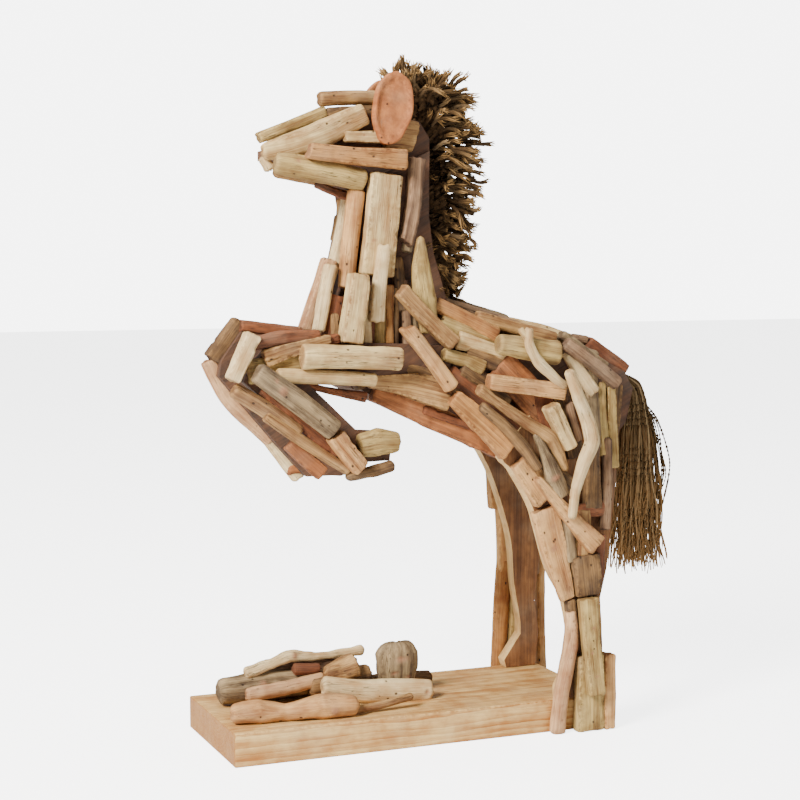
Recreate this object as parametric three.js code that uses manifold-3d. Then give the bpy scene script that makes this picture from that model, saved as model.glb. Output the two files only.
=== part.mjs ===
// A rearing horse of driftwood sticks glued over sawn boards, on a pine plank with a heap of driftwood.
// Millimetres. +X runs towards the tail, -Y is the horse's left side, +Z is up.
// The origin is the middle of the plank's underside. The horse's own heights are taken from the plank's top.

import * as THREE from 'three';
import { mergeVertices } from 'three/addons/utils/BufferGeometryUtils.js';
import Module from 'manifold-3d';

const wasm = await Module();
wasm.setup();

// Driving dimensions
const PLINTH_LENGTH = 300;
const PLINTH_WIDTH = 120;
const PLINTH_THICKNESS = 25;
const PLINTH_EDGE_BEVEL = 1;
const BOARD_THICKNESS = 12;
const FORELEG_BOARD_INSET = 10;
const GLUE_GAP = 0.3;
const SEAT_DEPTH = 0.8;
const END_CHAMFER = 1.4;
const FINEST_DETAIL = 0.02;
const EAR_LENGTH = 54;
const EAR_WIDTH = 30;
const EAR_THICKNESS = 8;
const EAR_BEVEL = 1.6;
const EAR_LEAN = 0.16;
const NOSE_HALF_WIDTH = 15;
const HEAD_HALF_WIDTH = 21;
const NECK_HALF_WIDTH = 30;
const SPINE_HALF_WIDTH = 24;
const CHEST_HALF_WIDTH = 36;
const BARREL_HALF_WIDTH = 51;
const CREST_THICKNESS = 20;
const MANE_ROWS = 8;
const MANE_TUFT_LENGTH = 42;
const MANE_TUFT_THICKNESS = 11;
const TAIL_BUNDLES = 12;
const TAIL_SPREAD = 13;
const TAIL_BUNDLE_THICKNESS = 11;

// Where the sawn legs and the boards between them stand, worked out from the plank
const LEG_OUTER = PLINTH_WIDTH / 2;
const LEG_INNER = LEG_OUTER - BOARD_THICKNESS;
const FORELEG_OUTER = LEG_OUTER - FORELEG_BOARD_INSET;
const FORELEG_INNER = FORELEG_OUTER - BOARD_THICKNESS;
const HAUNCH_HALF_WIDTH = LEG_INNER - GLUE_GAP;
const TABLE = -PLINTH_THICKNESS;

// Section shapes: the exponent of a superellipse, 2 for a round stick and more for a squarer one
const ROUND = 2;
const WORN = 3.5;
const SAWN = 7;

// Which way a stick was pushed home when it was glued on
const TO_THE_RIGHT = new THREE.Vector3(0, 1, 0);
const TO_THE_LEFT = new THREE.Vector3(0, -1, 0);
const DOWN = new THREE.Vector3(0, 0, -1);

// The horse's sides, and the faces that the sticks on its flanks lie on, out from the middle
const LEFT = -1;
const RIGHT = 1;
const FLANK_FACE = Math.max(BARREL_HALF_WIDTH, HAUNCH_HALF_WIDTH);

const TONES = {
  cream: 0xe8d0b0,
  tan: 0xc7a37c,
  olive: 0xbea578,
  orange: 0xcd9669,
  terracotta: 0xcb8562,
  brown: 0x967d64,
  mauve: 0xa58c7d,
  pine: 0xe4be8c,
  board: 0x8c5f41,
  mane: 0x553e28,
  tail: 0x3c301e,
};

const horse = new THREE.Group();
horse.position.z = PLINTH_THICKNESS;
const part = new THREE.Group();
part.add(horse);

function material(tone) {
  return new THREE.MeshStandardMaterial({ color: TONES[tone], roughness: 0.8, metalness: 0 });
}

function toSolid(geometry) {
  const bare = geometry.clone();
  bare.deleteAttribute('normal');
  bare.deleteAttribute('uv');
  const welded = mergeVertices(bare, 1e-4);
  return new wasm.Manifold(new wasm.Mesh({
    numProp: 3,
    vertProperties: new Float32Array(welded.attributes.position.array),
    triVerts: new Uint32Array(welded.index.array),
  }));
}

function toGeometry(solid) {
  const mesh = solid.getMesh();
  const geometry = new THREE.BufferGeometry();
  geometry.setAttribute('position', new THREE.BufferAttribute(new Float32Array(mesh.vertProperties), 3));
  geometry.setIndex(new THREE.BufferAttribute(new Uint32Array(mesh.triVerts), 1));
  geometry.computeVertexNormals();
  return geometry;
}

// Union of several solids
function fuse(solids) {
  return solids.reduce((whole, solid) => whole.add(solid));
}

// The biggest of the bodies that a cut leaves
function mainBody(solid) {
  return solid.decompose().sort((a, b) => b.volume() - a.volume())[0];
}

// A stick along a run of points [x, y, height]. Widths are measured up and down in the side view and depths
// through it; both are given at the points. A round, worn or sawn section comes from one exponent.
function driftwood({ run, wide, deep, section = WORN, sides = 8, chamfered = true }, grow = 0) {
  const points = run.map((p) => new THREE.Vector3(...p));
  const first = points[0].clone();
  const last = points[points.length - 1].clone();
  const widths = Array.isArray(wide) ? wide : points.map(() => wide);
  const depths = Array.isArray(deep) ? deep : points.map(() => deep);
  const startWay = points[1].clone().sub(first).normalize();
  const endWay = last.clone().sub(points[points.length - 2]).normalize();
  points[0].addScaledVector(startWay, -grow);
  points[points.length - 1].addScaledVector(endWay, grow);
  const stations = points.map((at, i) => ({ at, inset: 0, w: widths[i], d: depths[i] }));
  if (chamfered) {
    const chamfer = Math.min(END_CHAMFER, Math.min(...widths) / 4);
    const start = stations[0];
    const end = stations[stations.length - 1];
    stations.unshift({ ...start, inset: chamfer });
    stations.push({ ...end, inset: chamfer });
    start.at = start.at.clone().addScaledVector(startWay, chamfer);
    end.at = end.at.clone().addScaledVector(endWay, -chamfer);
  }

  const rings = stations.length - 1;
  const geometry = new THREE.CylinderGeometry(1, 1, rings, sides, rings);
  const place = geometry.attributes.position;
  for (let i = 0; i < place.count; i += 1) {
    const ring = Math.round(place.getY(i) + rings / 2);
    const { at, inset, w, d } = stations[ring];
    const before = stations[Math.max(ring - 1, 0)].at;
    const after = stations[Math.min(ring + 1, rings)].at;
    const along = after.clone().sub(before).normalize();
    const through = new THREE.Vector3(0, 1, 0);
    if (Math.abs(along.y) > 0.9) through.set(1, 0, 0);
    const across = new THREE.Vector3().crossVectors(through, along).normalize();
    through.crossVectors(along, across);
    const x = place.getX(i);
    const z = place.getZ(i);
    const radius = Math.hypot(x, z);
    const turn = towardsCorner(Math.atan2(z, x) + Math.PI / sides, section);
    const cos = Math.cos(turn);
    const sin = Math.sin(turn);
    const reach = radius / (Math.abs(cos) ** section + Math.abs(sin) ** section) ** (1 / section);
    const halfWidth = Math.max(w / 2 - inset, w / 5) + grow;
    const halfDepth = Math.max(d / 2 - inset, d / 5) + grow;
    const spot = at.clone()
      .addScaledVector(across, -reach * cos * halfWidth)
      .addScaledVector(through, reach * sin * halfDepth);
    place.setXYZ(i, spot.x, spot.y, spot.z);
  }
  const solid = toSolid(geometry);
  return solid.volume() > 0 ? solid : toSolid(flipped(geometry));
}

// Draws the points of a section in towards its corners, the more the squarer it is
function towardsCorner(turn, section) {
  const corner = (Math.floor(turn / (Math.PI / 2)) + 0.5) * (Math.PI / 2);
  return corner + (turn - corner) * (ROUND / section);
}

function flipped(geometry) {
  const turned = geometry.clone();
  const index = turned.index.array;
  for (let i = 0; i < index.length; i += 3) {
    [index[i], index[i + 1]] = [index[i + 1], index[i]];
  }
  return turned;
}

// A board cut to an outline of [x, height] corners, standing between two depths
function board(outline, fromY, toY, grow = 0, bevel = 0) {
  const shape = new THREE.Shape(offset(outline, grow).map(([x, h]) => new THREE.Vector2(x, h)));
  const depth = toY - fromY + 2 * grow - 2 * bevel;
  const geometry = new THREE.ExtrudeGeometry(shape, {
    depth,
    bevelEnabled: bevel > 0,
    bevelThickness: bevel,
    bevelSize: bevel,
    bevelOffset: -bevel,
    bevelSegments: 1,
  });
  geometry.rotateX(Math.PI / 2);
  geometry.translate(0, toY + grow - bevel, 0);
  return toSolid(geometry);
}

// An outline pushed outwards by the same distance at each corner
function offset(outline, distance) {
  if (distance === 0) return outline;
  const turn = Math.sign(THREE.ShapeUtils.area(outline.map(([x, h]) => new THREE.Vector2(x, h))));
  return outline.map(([x, h], i) => {
    const [px, ph] = outline[(i + outline.length - 1) % outline.length];
    const [nx, nh] = outline[(i + 1) % outline.length];
    const into = new THREE.Vector2(x - px, h - ph).normalize();
    const out = new THREE.Vector2(nx - x, nh - h).normalize();
    const bisector = new THREE.Vector2(into.y + out.y, -into.x - out.x).multiplyScalar(turn).normalize();
    const lean = Math.max(bisector.dot(new THREE.Vector2(into.y, -into.x).multiplyScalar(turn)), 0.5);
    return [x + (bisector.x * distance) / lean, h + (bisector.y * distance) / lean];
  });
}

// What has been glued up so far: each piece, and the same piece grown by the glue gap
const laid = [];

function near(box, reach) {
  return laid.filter(({ room }) => [0, 1, 2].every(
    (k) => room.min[k] < box.max[k] + reach && room.max[k] > box.min[k] - reach,
  ));
}

function lay(name, solid, grown, tone) {
  const body = mainBody(solid.simplify(FINEST_DETAIL));
  const mesh = new THREE.Mesh(toGeometry(body), material(tone));
  mesh.name = name;
  horse.add(mesh);
  laid.push({ grown, room: grown.boundingBox() });
}

// Slides a stick home from outside until it meets what is already laid, and presses it in a little
const SLIDE_REACH = 26;
const SLIDE_STEP = 2;
const SLIDE_CLOSE = 0.1;
const TOUCHING_VOLUME = 0.5;

function slideHome(solid, way) {
  const others = near(solid.boundingBox(), SLIDE_REACH);
  if (others.length === 0) return new THREE.Vector3();
  const obstacle = fuse(others.map((other) => other.grown));
  const meets = (travel) => solid.translate(way.x * travel, way.y * travel, way.z * travel)
    .intersect(obstacle).volume() > TOUCHING_VOLUME;
  let travel = -SLIDE_REACH;
  while (travel < SLIDE_REACH && !meets(travel + SLIDE_STEP)) travel += SLIDE_STEP;
  if (travel >= SLIDE_REACH) return new THREE.Vector3();
  let low = travel;
  let high = travel + SLIDE_STEP;
  while (high - low > SLIDE_CLOSE) {
    const middle = (low + high) / 2;
    if (meets(middle)) high = middle;
    else low = middle;
  }
  return way.clone().multiplyScalar(low + SEAT_DEPTH);
}

function clearOf(solid) {
  const others = near(solid.boundingBox(), 1);
  if (others.length === 0) return solid;
  return solid.subtract(fuse(others.map((other) => other.grown)));
}

function onTheTable(solid) {
  return solid.trimByPlane([0, 0, 1], TABLE);
}

// Glues on one stick
function stick(name, tone, spec, way = TO_THE_RIGHT) {
  const home = way ? slideHome(driftwood(spec), way) : new THREE.Vector3();
  const settled = { ...spec, run: spec.run.map(([x, y, h]) => [x + home.x, y + home.y, h + home.z]) };
  const solid = onTheTable(clearOf(driftwood(settled)));
  lay(name, solid, onTheTable(driftwood(settled, GLUE_GAP)), tone);
}

// Glues on several small sticks as one piece; they touch each other
function sticks(name, tone, specs) {
  const plain = specs.map((spec) => ({ chamfered: false, sides: 4, ...spec }));
  const whole = onTheTable(clearOf(fuse(plain.map((spec) => driftwood(spec)))));
  const grown = onTheTable(fuse(plain.map((spec) => driftwood(spec, GLUE_GAP))));
  lay(name, whole, grown, tone);
}

// Lays sticks over the boards of one side. In their runs y is the distance out from the face beneath, which
// may change from the first point to the last.
function over(side, fromFace, toFace, specs) {
  return specs.map((spec) => ({
    ...spec,
    run: spec.run.map(([x, out, h], i) => [
      x, side * (THREE.MathUtils.lerp(fromFace, toFace, i / (spec.run.length - 1)) + out), h,
    ]),
  }));
}

// Lays sticks on the plank. In their runs x is taken from its left end and y from its near edge.
function onPlank(run) {
  return run.map(([x, y, h]) => [x - PLINTH_LENGTH / 2, y - PLINTH_WIDTH / 2, h]);
}

function plinth() {
  const halfLength = PLINTH_LENGTH / 2;
  const outline = [
    [-halfLength, TABLE], [halfLength, TABLE], [halfLength, 0], [-halfLength, 0],
  ];
  const solid = board(outline, -PLINTH_WIDTH / 2, PLINTH_WIDTH / 2, 0, PLINTH_EDGE_BEVEL);
  const grown = board(outline, -PLINTH_WIDTH / 2, PLINTH_WIDTH / 2, GLUE_GAP, 0);
  lay('plinth_board', solid, grown, 'pine');
}

const NEAR_HIND_LEG = [
  [62, 195], [70, 180], [80, 164], [88, 149], [93, 133], [103, 101], [117, 74], [123, 30], [111, 9], [111, 0],
  [143, 0], [146, 27], [143, 55], [146, 75], [152, 100], [155, 125], [160, 175], [150, 225], [96, 235],
];
const FAR_HIND_LEG = [
  [84, 203], [95, 180], [103, 165], [114, 135], [122, 105], [125, 70], [131, 28], [116, 7], [118, 0],
  [145, 0], [148, 30], [144, 55], [148, 90], [150, 110], [155, 135], [165, 175], [170, 225], [110, 235],
];
const NEAR_FORELEG = [
  [26, 275], [-40, 278], [-120, 274], [-134, 264], [-138, 252], [-100, 219], [-64, 190], [-26, 191],
  [-24, 212],
  [-52, 214], [-90, 250], [-30, 246], [20, 240],
];
const FAR_FORELEG = [
  [24, 280], [-60, 276], [-112, 284], [-128, 262], [-130, 250], [-84, 196], [-60, 170], [-26, 170],
  [-24, 182],
  [-52, 184], [-104, 246], [-60, 252], [16, 244],
];

function legBoard(name, outline, outerY, innerY) {
  const [from, to] = outerY < innerY ? [outerY, innerY] : [innerY, outerY];
  const solid = clearOf(board(outline, from, to, 0, 0));
  lay(name, solid, board(outline, from, to, GLUE_GAP), 'board');
}

// The body, laid up from sawn boards of different outlines
const NOSE_BOARD = [[-106, 412], [-106, 419], [-62, 434], [-40, 434], [-40, 404]];
const HEAD_BOARD = [
  [-80, 410], [-66, 431], [-60, 444], [-18, 448], [10, 442], [18, 430], [18, 372], [-40, 372], [-44, 396],
];
const SPINE_BOARD = [
  [-36, 396], [-44, 355], [-50, 328], [-62, 296], [-58, 268], [-46, 243], [-20, 235], [30, 215], [75, 196],
  [100, 178], [165, 174], [172, 190], [188, 210], [194, 236], [186, 250], [162, 262], [130, 275], [88, 285],
  [60, 294], [32, 306], [20, 345], [16, 376], [17, 420],
];
const NECK_BOARD = [[-36, 398], [-42, 330], [-50, 290], [14, 290], [0, 330], [-6, 400]];
const CHEST_BOARD = [
  [-56, 305], [-60, 275], [-52, 248], [-38, 240], [0, 224], [60, 198], [100, 178], [160, 175], [170, 205],
  [160, 250], [120, 267], [60, 284], [20, 296], [-40, 312],
];
const HAUNCH_BOARD = [
  [30, 277], [70, 272], [115, 262], [150, 246], [160, 210], [152, 172], [100, 178], [62, 206], [10, 232],
  [-10, 258], [0, 275],
];
const BARREL_BOARD = [[28, 270], [60, 264], [80, 252], [84, 226], [70, 214], [40, 226], [20, 246]];

function bodyBoard() {
  const layers = (grow) => fuse([
    [NOSE_BOARD, NOSE_HALF_WIDTH], [HEAD_BOARD, HEAD_HALF_WIDTH], [SPINE_BOARD, SPINE_HALF_WIDTH],
    [NECK_BOARD, NECK_HALF_WIDTH], [CHEST_BOARD, CHEST_HALF_WIDTH], [HAUNCH_BOARD, HAUNCH_HALF_WIDTH],
    [BARREL_BOARD, BARREL_HALF_WIDTH],
  ].map(([outline, half]) => board(outline, -half, half, grow)));
  lay('body_board', clearOf(layers(0)), layers(GLUE_GAP), 'board');
}

// Small sticks that show between the larger ones, each list glued up as one piece
const LEFT_NECK_INFILL = over(LEFT, NECK_HALF_WIDTH, CHEST_HALF_WIDTH, [
  { run: [[-65, 2, 335], [-78, 2, 286.5]], wide: 10, deep: 9 },
  { run: [[-62, 1, 313], [-69, 1, 277]], wide: 20, deep: 11 },
  { run: [[-65.5, 4, 299], [-65, 4, 278.5]], wide: 8, deep: 11 },
  { run: [[-48, 1, 312], [-52, 1, 276]], wide: 21, deep: 11 },
  { run: [[-37, 1, 322], [-41, 1, 276.5]], wide: 12, deep: 11 },
  { run: [[-32, 1, 310], [-35, 0, 276.5]], wide: 12, deep: 11 },
  { run: [[-27, 1, 320], [-30, 1, 276]], wide: 12, deep: 11 },
  { run: [[-21, 1, 322], [-22.5, 1, 275]], wide: 12, deep: 11 },
  { run: [[-14, 1, 322], [-14, 1, 266]], wide: 13, deep: 11 },
  { run: [[-6, 1, 322], [-4.5, 1, 264]], wide: 15, deep: 12 },
]);
const HEAD_TOP_STICKS = [
  { run: [[-114, -12, 427], [-61, -12, 449]], wide: 9, deep: 10, section: SAWN },
  {
    run: [[-69, -13, 456.5], [-22, -13, 459]], wide: 11.5, deep: 12,
    section: ROUND, sides: 8, chamfered: true,
  },
  { run: [[-62, -14, 447], [-18, -14, 451]], wide: 12, deep: 12 },
];
const LEFT_BARREL_INFILL = [
  ...over(LEFT, CHEST_HALF_WIDTH, FLANK_FACE, [
    { run: [[13.5, 6, 306], [61.5, -1, 281.5]], wide: 11.5, deep: 11 },
    { run: [[45.5, 10, 296], [111, -2, 278.5]], wide: 10, deep: 10 },
    { run: [[16, 9, 292], [66, -1, 274]], wide: 18, deep: 9 },
  ]),
  ...over(LEFT, FLANK_FACE, FLANK_FACE, [
    { run: [[15, 3, 269.5], [48, 3, 258]], wide: [9, 14], deep: 10 },
    { run: [[26, 2, 279], [70, 2, 266]], wide: [16, 11], deep: 9 },
    { run: [[34, 2, 270], [70, 3, 254]], wide: 14, deep: 8 },
    { run: [[60.5, 4, 261], [102.5, 5, 222]], wide: 26, deep: 9, section: SAWN },
    { run: [[31, 2, 260], [71, 3, 234]], wide: 16, deep: 8 },
    { run: [[20, 1, 255], [84, 4, 208]], wide: 18, deep: 8 },
  ]),
  ...over(LEFT, CHEST_HALF_WIDTH, HAUNCH_HALF_WIDTH, [
    { run: [[-18, 7, 262], [30, 4, 240]], wide: 16, deep: 12 },
    { run: [[-34, 8, 249.5], [18, 3, 240]], wide: [10, 22], deep: 12, section: SAWN },
  ]),
  ...over(LEFT, CHEST_HALF_WIDTH, CHEST_HALF_WIDTH, [
    {
      run: [[-38, 4, 241], [7.5, 6, 223], [49, 7, 205], [68, 7, 191]], wide: [11, 18, 20, 9], deep: 10,
      section: SAWN,
    },
  ]),
];
const LEFT_HAUNCH_INFILL = [
  ...over(LEFT, HAUNCH_HALF_WIDTH, LEG_OUTER, [
    { run: [[117.5, 7, 268], [139.5, 0, 236.5]], wide: 11, deep: 10 },
    { run: [[94, 9, 240], [106, 2, 188]], wide: 17, deep: 7 },
    { run: [[108, 9, 246], [123, 2, 188]], wide: 17, deep: 7 },
    { run: [[122, 8, 246], [131, 2, 188]], wide: 15, deep: 8 },
    { run: [[137, 6, 256], [138, 2, 194]], wide: 13, deep: 9 },
    { run: [[147, 6, 244], [147.5, 2, 189]], wide: 10.5, deep: 9 },
    { run: [[156, 6, 240.5], [156.5, 1, 177]], wide: 9.5, deep: 9 },
  ]),
  ...over(LEFT, LEG_OUTER, LEG_OUTER, [
    { run: [[136, 3, 202], [135.5, 5, 147.5]], wide: 14, deep: 8 },
    { run: [[149.5, 3, 202], [147, 5, 131]], wide: 11, deep: 9 },
    { run: [[75, 4, 188], [96, 4, 157]], wide: 19, deep: 8, section: SAWN },
    { run: [[88, 4, 188], [129, 4, 162]], wide: 20, deep: 8 },
    { run: [[119, 4, 146], [147, 4, 148]], wide: 12, deep: 8 },
  ]),
];
const BACK_STICKS = [
  { run: [[26, 0, 311], [60, 0, 300], [92, 0, 291]], wide: 10, deep: 16 },
  { run: [[24, -12, 307], [96, -13, 285]], wide: 11, deep: 13 },
  { run: [[24, 12, 307], [96, 13, 285]], wide: 10, deep: 14 },
  { run: [[84, -3, 290], [128, -3, 281], [148, -3, 275]], wide: 10, deep: 14 },
  { run: [[88, 10, 289], [147, 10, 275]], wide: 10, deep: 14 },
  { run: [[90, -15, 286], [146, -16, 270]], wide: 10, deep: 14 },
];
const LEFT_FORELEG_INFILL = over(LEFT, FORELEG_OUTER, FORELEG_OUTER, [
  { run: [[-116, 4, 257], [-40, 4, 251]], wide: 11, deep: 10 },
  { run: [[-135, 2, 263], [-94, 2, 265]], wide: 27, deep: 8 },
  { run: [[-131, 0, 281], [-87, 0, 283]], wide: 11, deep: 14 },
  { run: [[-104, 2, 274], [-74, 1, 279]], wide: 11, deep: 10 },
  { run: [[-146, 2, 247], [-98, 3, 213.5]], wide: 12, deep: 9 },
  { run: [[-123, 3, 227], [-60, 3, 185]], wide: 11, deep: 8 },
  { run: [[-126, 2, 253], [-66, 2, 198]], wide: 20, deep: 7 },
  { run: [[-62, 3, 181.5], [-25, 3, 188]], wide: 9, deep: 8 },
]);
const RIGHT_HEAD_AND_NECK_STICKS = [
  ...over(RIGHT, NOSE_HALF_WIDTH, HEAD_HALF_WIDTH, [
    { run: [[-98, 5, 420], [-64, 5, 435], [-33, 6, 446]], wide: [10, 17, 14], deep: 10 },
    { run: [[-90, 6, 408], [-26, 6, 397]], wide: 16, deep: 14, section: ROUND },
  ]),
  ...over(RIGHT, HEAD_HALF_WIDTH, HEAD_HALF_WIDTH, [
    { run: [[-72, 5, 420], [2, 7, 415]], wide: 16, deep: 12 },
    { run: [[-24, 5, 430], [8, 6, 430]], wide: 24, deep: 11 },
    { run: [[-50, 5, 432], [-18, 6, 432]], wide: 16, deep: 9 },
  ]),
  ...over(RIGHT, NECK_HALF_WIDTH, NECK_HALF_WIDTH, [
    { run: [[-21, 2, 402], [-33, 3, 322]], wide: 15, deep: 11 },
    { run: [[-9, 1, 412], [-20, 4, 318]], wide: 18, deep: 11 },
    { run: [[6, -4, 412], [-2, 1, 330]], wide: 18, deep: 12 },
  ]),
  ...over(RIGHT, NECK_HALF_WIDTH, CHEST_HALF_WIDTH, [
    { run: [[8, 0, 352], [12, 2, 288]], wide: 16, deep: 12 },
    { run: [[-4, 2, 342], [-1, 4, 284]], wide: 18, deep: 12 },
    { run: [[-18, 4, 330], [-14, 5, 268]], wide: 18, deep: 12 },
    { run: [[-30, 4, 330], [-32, 5, 272]], wide: 19, deep: 12 },
    { run: [[-37, 4, 326], [-50, 5, 280]], wide: 16, deep: 12 },
  ]),
];
const RIGHT_BARREL_STICKS = [
  ...over(RIGHT, CHEST_HALF_WIDTH, FLANK_FACE, [
    { run: [[-22, 8, 314], [30, 3, 272]], wide: 17, deep: 12 },
    { run: [[-22, 7, 298], [30, 5, 254]], wide: 18, deep: 14 },
    { run: [[-32, 6, 256], [30, 2, 242]], wide: 18, deep: 13 },
    { run: [[42, 12, 296], [112, 2, 264]], wide: 16, deep: 12 },
  ]),
  ...over(RIGHT, CHEST_HALF_WIDTH, CHEST_HALF_WIDTH, [
    { run: [[-28, 5, 250], [20, 8, 231], [76, 9, 201]], wide: 18, deep: 14 },
  ]),
  ...over(RIGHT, FLANK_FACE, FLANK_FACE, [
    { run: [[10, 4, 250], [84, 6, 204]], wide: 20, deep: 12 },
    { run: [[18, 5, 266], [100, 6, 214]], wide: 22, deep: 11 },
    { run: [[16, 6, 282], [110, 6, 230]], wide: 22, deep: 11 },
    { run: [[20, 3, 296], [116, 4, 246]], wide: 19, deep: 11 },
  ]),
];
const RIGHT_HAUNCH_AND_HIND_LEG_STICKS = [
  ...over(RIGHT, HAUNCH_HALF_WIDTH, HAUNCH_HALF_WIDTH, [
    { run: [[118, 6, 276], [164, 8, 244]], wide: 16, deep: 14 },
    { run: [[116, 9, 264], [160, 12, 228]], wide: 18, deep: 13 },
  ]),
  ...over(RIGHT, LEG_OUTER, LEG_OUTER, [
    { run: [[122, 1, 248], [124, 6, 168]], wide: 18, deep: 10 },
    { run: [[137, 1, 248], [138, 6, 146]], wide: 18, deep: 10 },
    { run: [[152, 0, 238], [152, 6, 144]], wide: 18, deep: 10 },
    { run: [[106, 1, 232], [118, 6, 132]], wide: 17, deep: 10 },
    { run: [[112, 6, 150], [152, 6, 146]], wide: 16, deep: 10 },
    { run: [[122, 6, 146], [125, 6, 74]], wide: 17, deep: 10 },
    { run: [[137, 6, 146], [138, 6, 66]], wide: 18, deep: 10 },
    { run: [[151, 6, 140], [151, 6, 74]], wide: 14, deep: 10 },
    { run: [[125, 6, 88], [122, 6, 40], [118, 6, TABLE]], wide: [16, 14, 13], deep: 11, section: ROUND },
    { run: [[137, 6, 82], [136, 6, 30], [135, 6, TABLE]], wide: [19, 18, 24], deep: 11 },
    { run: [[158, 6, 92], [159, 6, 28], [160, 6, TABLE]], wide: [9, 9, 10], deep: 11 },
  ]),
];
const RIGHT_FORELEG_STICKS = over(RIGHT, FORELEG_OUTER, FORELEG_OUTER, [
  { run: [[-112, -5, 288], [-70, -5, 283], [-30, -6, 279]], wide: 10, deep: 14 },
  { run: [[-108, 4, 274], [-20, 4, 270]], wide: 19, deep: 12 },
  { run: [[-104, 4, 260], [-20, 4, 254]], wide: 15, deep: 10 },
  { run: [[-110, 1, 290], [-131, 1, 260]], wide: 15, deep: 14 },
  { run: [[-134, 3, 262], [-120, 3, 233], [-84, 3, 199]], wide: 15, deep: 12 },
  { run: [[-122, 4, 254], [-58, 4, 190]], wide: 18, deep: 10 },
  { run: [[-92, 3, 208], [-61, 3, 168]], wide: 13, deep: 10 },
  { run: [[-72, 2, 175], [-25, 2, 172]], wide: 11, deep: 12 },
  { run: [[-66, 3, 184], [-28, 3, 182]], wide: 14, deep: 10 },
]);

function buildInfill() {
  sticks('back_sticks', 'tan', BACK_STICKS);
  sticks('head_top_sticks', 'terracotta', HEAD_TOP_STICKS);
  sticks('left_neck_infill_sticks', 'tan', LEFT_NECK_INFILL);
  sticks('left_barrel_infill_sticks', 'terracotta', LEFT_BARREL_INFILL);
  sticks('left_haunch_infill_sticks', 'brown', LEFT_HAUNCH_INFILL);
  sticks('left_foreleg_infill_sticks', 'terracotta', LEFT_FORELEG_INFILL);
}

function buildHead() {
  stick('muzzle_plank', 'cream', {
    run: [[-114, -22, 417.5], [-97, -24, 422.5], [-67.5, -26, 432.5], [-35, -26, 447.5]],
    wide: [9, 12.5, 16, 16], deep: 9, section: SAWN,
  });
  stick('jaw_log', 'tan', {
    run: [[-107, -28, 408.5], [-72, -31, 403], [-38.5, -31, 397]],
    wide: [17.5, 18, 16],
    deep: 15,
    section: ROUND,
  });
  stick('back_of_head_block', 'cream', { run: [[-21, -30, 431.5], [4.5, -30, 430]], wide: 25, deep: 11 });
  stick('cheek_block', 'orange', {
    run: [[-85, -38, 417.5], [-9, -38, 412]], wide: [11.5, 15.5], deep: 12, section: SAWN,
  });
}

function buildNeck() {
  stick('throat_dowel', 'orange', {
    run: [[-43.5, -33, 389], [-50, -34, 340], [-52.5, -35, 318]], wide: 13.5, deep: 13, section: ROUND,
  });
  stick('neck_rear_stick', 'mauve', { run: [[2.5, -30, 414], [-7.5, -33, 351]], wide: [13, 11], deep: 11 });
  stick('neck_wide_plank', 'cream', {
    run: [[-23, -38, 402], [-31, -38, 327]], wide: [26, 25], deep: 12, section: SAWN,
  });
  stick('neck_leaf_stick', 'olive', {
    run: [[0, -40, 354], [1, -40, 335], [3.5, -42, 309], [5.5, -43, 284.5]], wide: [5, 14, 17.5, 13],
    deep: [6, 9, 10, 9],
  });
  stick('neck_white_stick', 'cream', {
    run: [[-28.5, -50, 349.5], [-34.5, -50, 293]], wide: [9, 13], deep: 9,
  });
  stick('chest_square_post', 'cream', {
    run: [[-51, -48, 328.5], [-58, -48, 278.5]], wide: [14, 18], deep: 14, section: SAWN,
  });
  sticks('neck_front_sticks', 'cream', [
    { run: [[-44, -10, 389.5], [-56, -11, 334]], wide: 11, deep: 12 },
    { run: [[-60, -14, 338], [-79, -14, 287]], wide: 11, deep: 14 },
  ]);
}

function buildLeftForeleg() {
  stick('upper_arm_log', 'tan', {
    run: [[-98.5, -60, 270], [-22, -60, 266.5]], wide: 18, deep: 15, section: ROUND,
  });
  stick('shin_log', 'brown', {
    run: [[-133, -60, 260], [-102.5, -60, 238.5], [-74.5, -60, 216]], wide: [15, 16.5, 16], deep: 14,
  });
  stick('knee_block', 'cream', {
    run: [[-132.5, -FORELEG_OUTER - 5, 286.5], [-148.5, -FORELEG_OUTER - 5, 254]], wide: 11.5, deep: 14,
    section: SAWN,
  }, null);
  stick('fetlock_block', 'orange', {
    run: [[-74, -60, 213], [-53.5, -60, 187.5]], wide: 13.5, deep: 13, section: SAWN,
  });
  stick('hoof_block', 'olive', {
    run: [[-52, -FORELEG_OUTER - 2, 203], [-36, -FORELEG_OUTER - 2, 205], [-20, -FORELEG_OUTER - 2, 205]],
    wide: [17, 20, 18], deep: 16,
  }, null);
}

function buildLeftBarrel() {
  stick('loin_log', 'olive', {
    run: [[55, -58, 276], [107, -58, 268]], wide: [15.5, 18.5], deep: 15, section: ROUND,
  });
  stick('flank_plank', 'orange', {
    run: [[18.5, -60, 238], [41, -60, 219.5], [66, -60, 197.5]], wide: [13.5, 19, 23], deep: 10,
    section: SAWN,
  });
  stick('shoulder_stick', 'tan', {
    run: [[-21, -62, 317], [21.5, -62, 276.5]], wide: 12, deep: 11, section: SAWN,
  });
  stick('elbow_stick', 'orange', { run: [[-17.5, -64, 289.5], [18.5, -64, 244]], wide: 11.5, deep: 12 });
  stick('flank_curved_branch', 'cream', {
    run: [
      [36.5, -68, 244], [49.5, -68, 235], [64.5, -68, 225], [81, -68, 214], [95, -68, 205],
      [103.5, -68, 192], [110, -68, 179],
    ],
    wide: [9, 10.5, 11.5, 10.5, 11, 9.5, 7], deep: [9, 10, 10, 10, 10, 9, 7], section: ROUND,
  });
  stick('crossbar_stick', 'orange', {
    run: [[46.5, -FLANK_FACE - 15, 248.5], [110, -FLANK_FACE - 15, 239]], wide: 12.5, deep: 11, section: SAWN,
  }, null);
}

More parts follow.
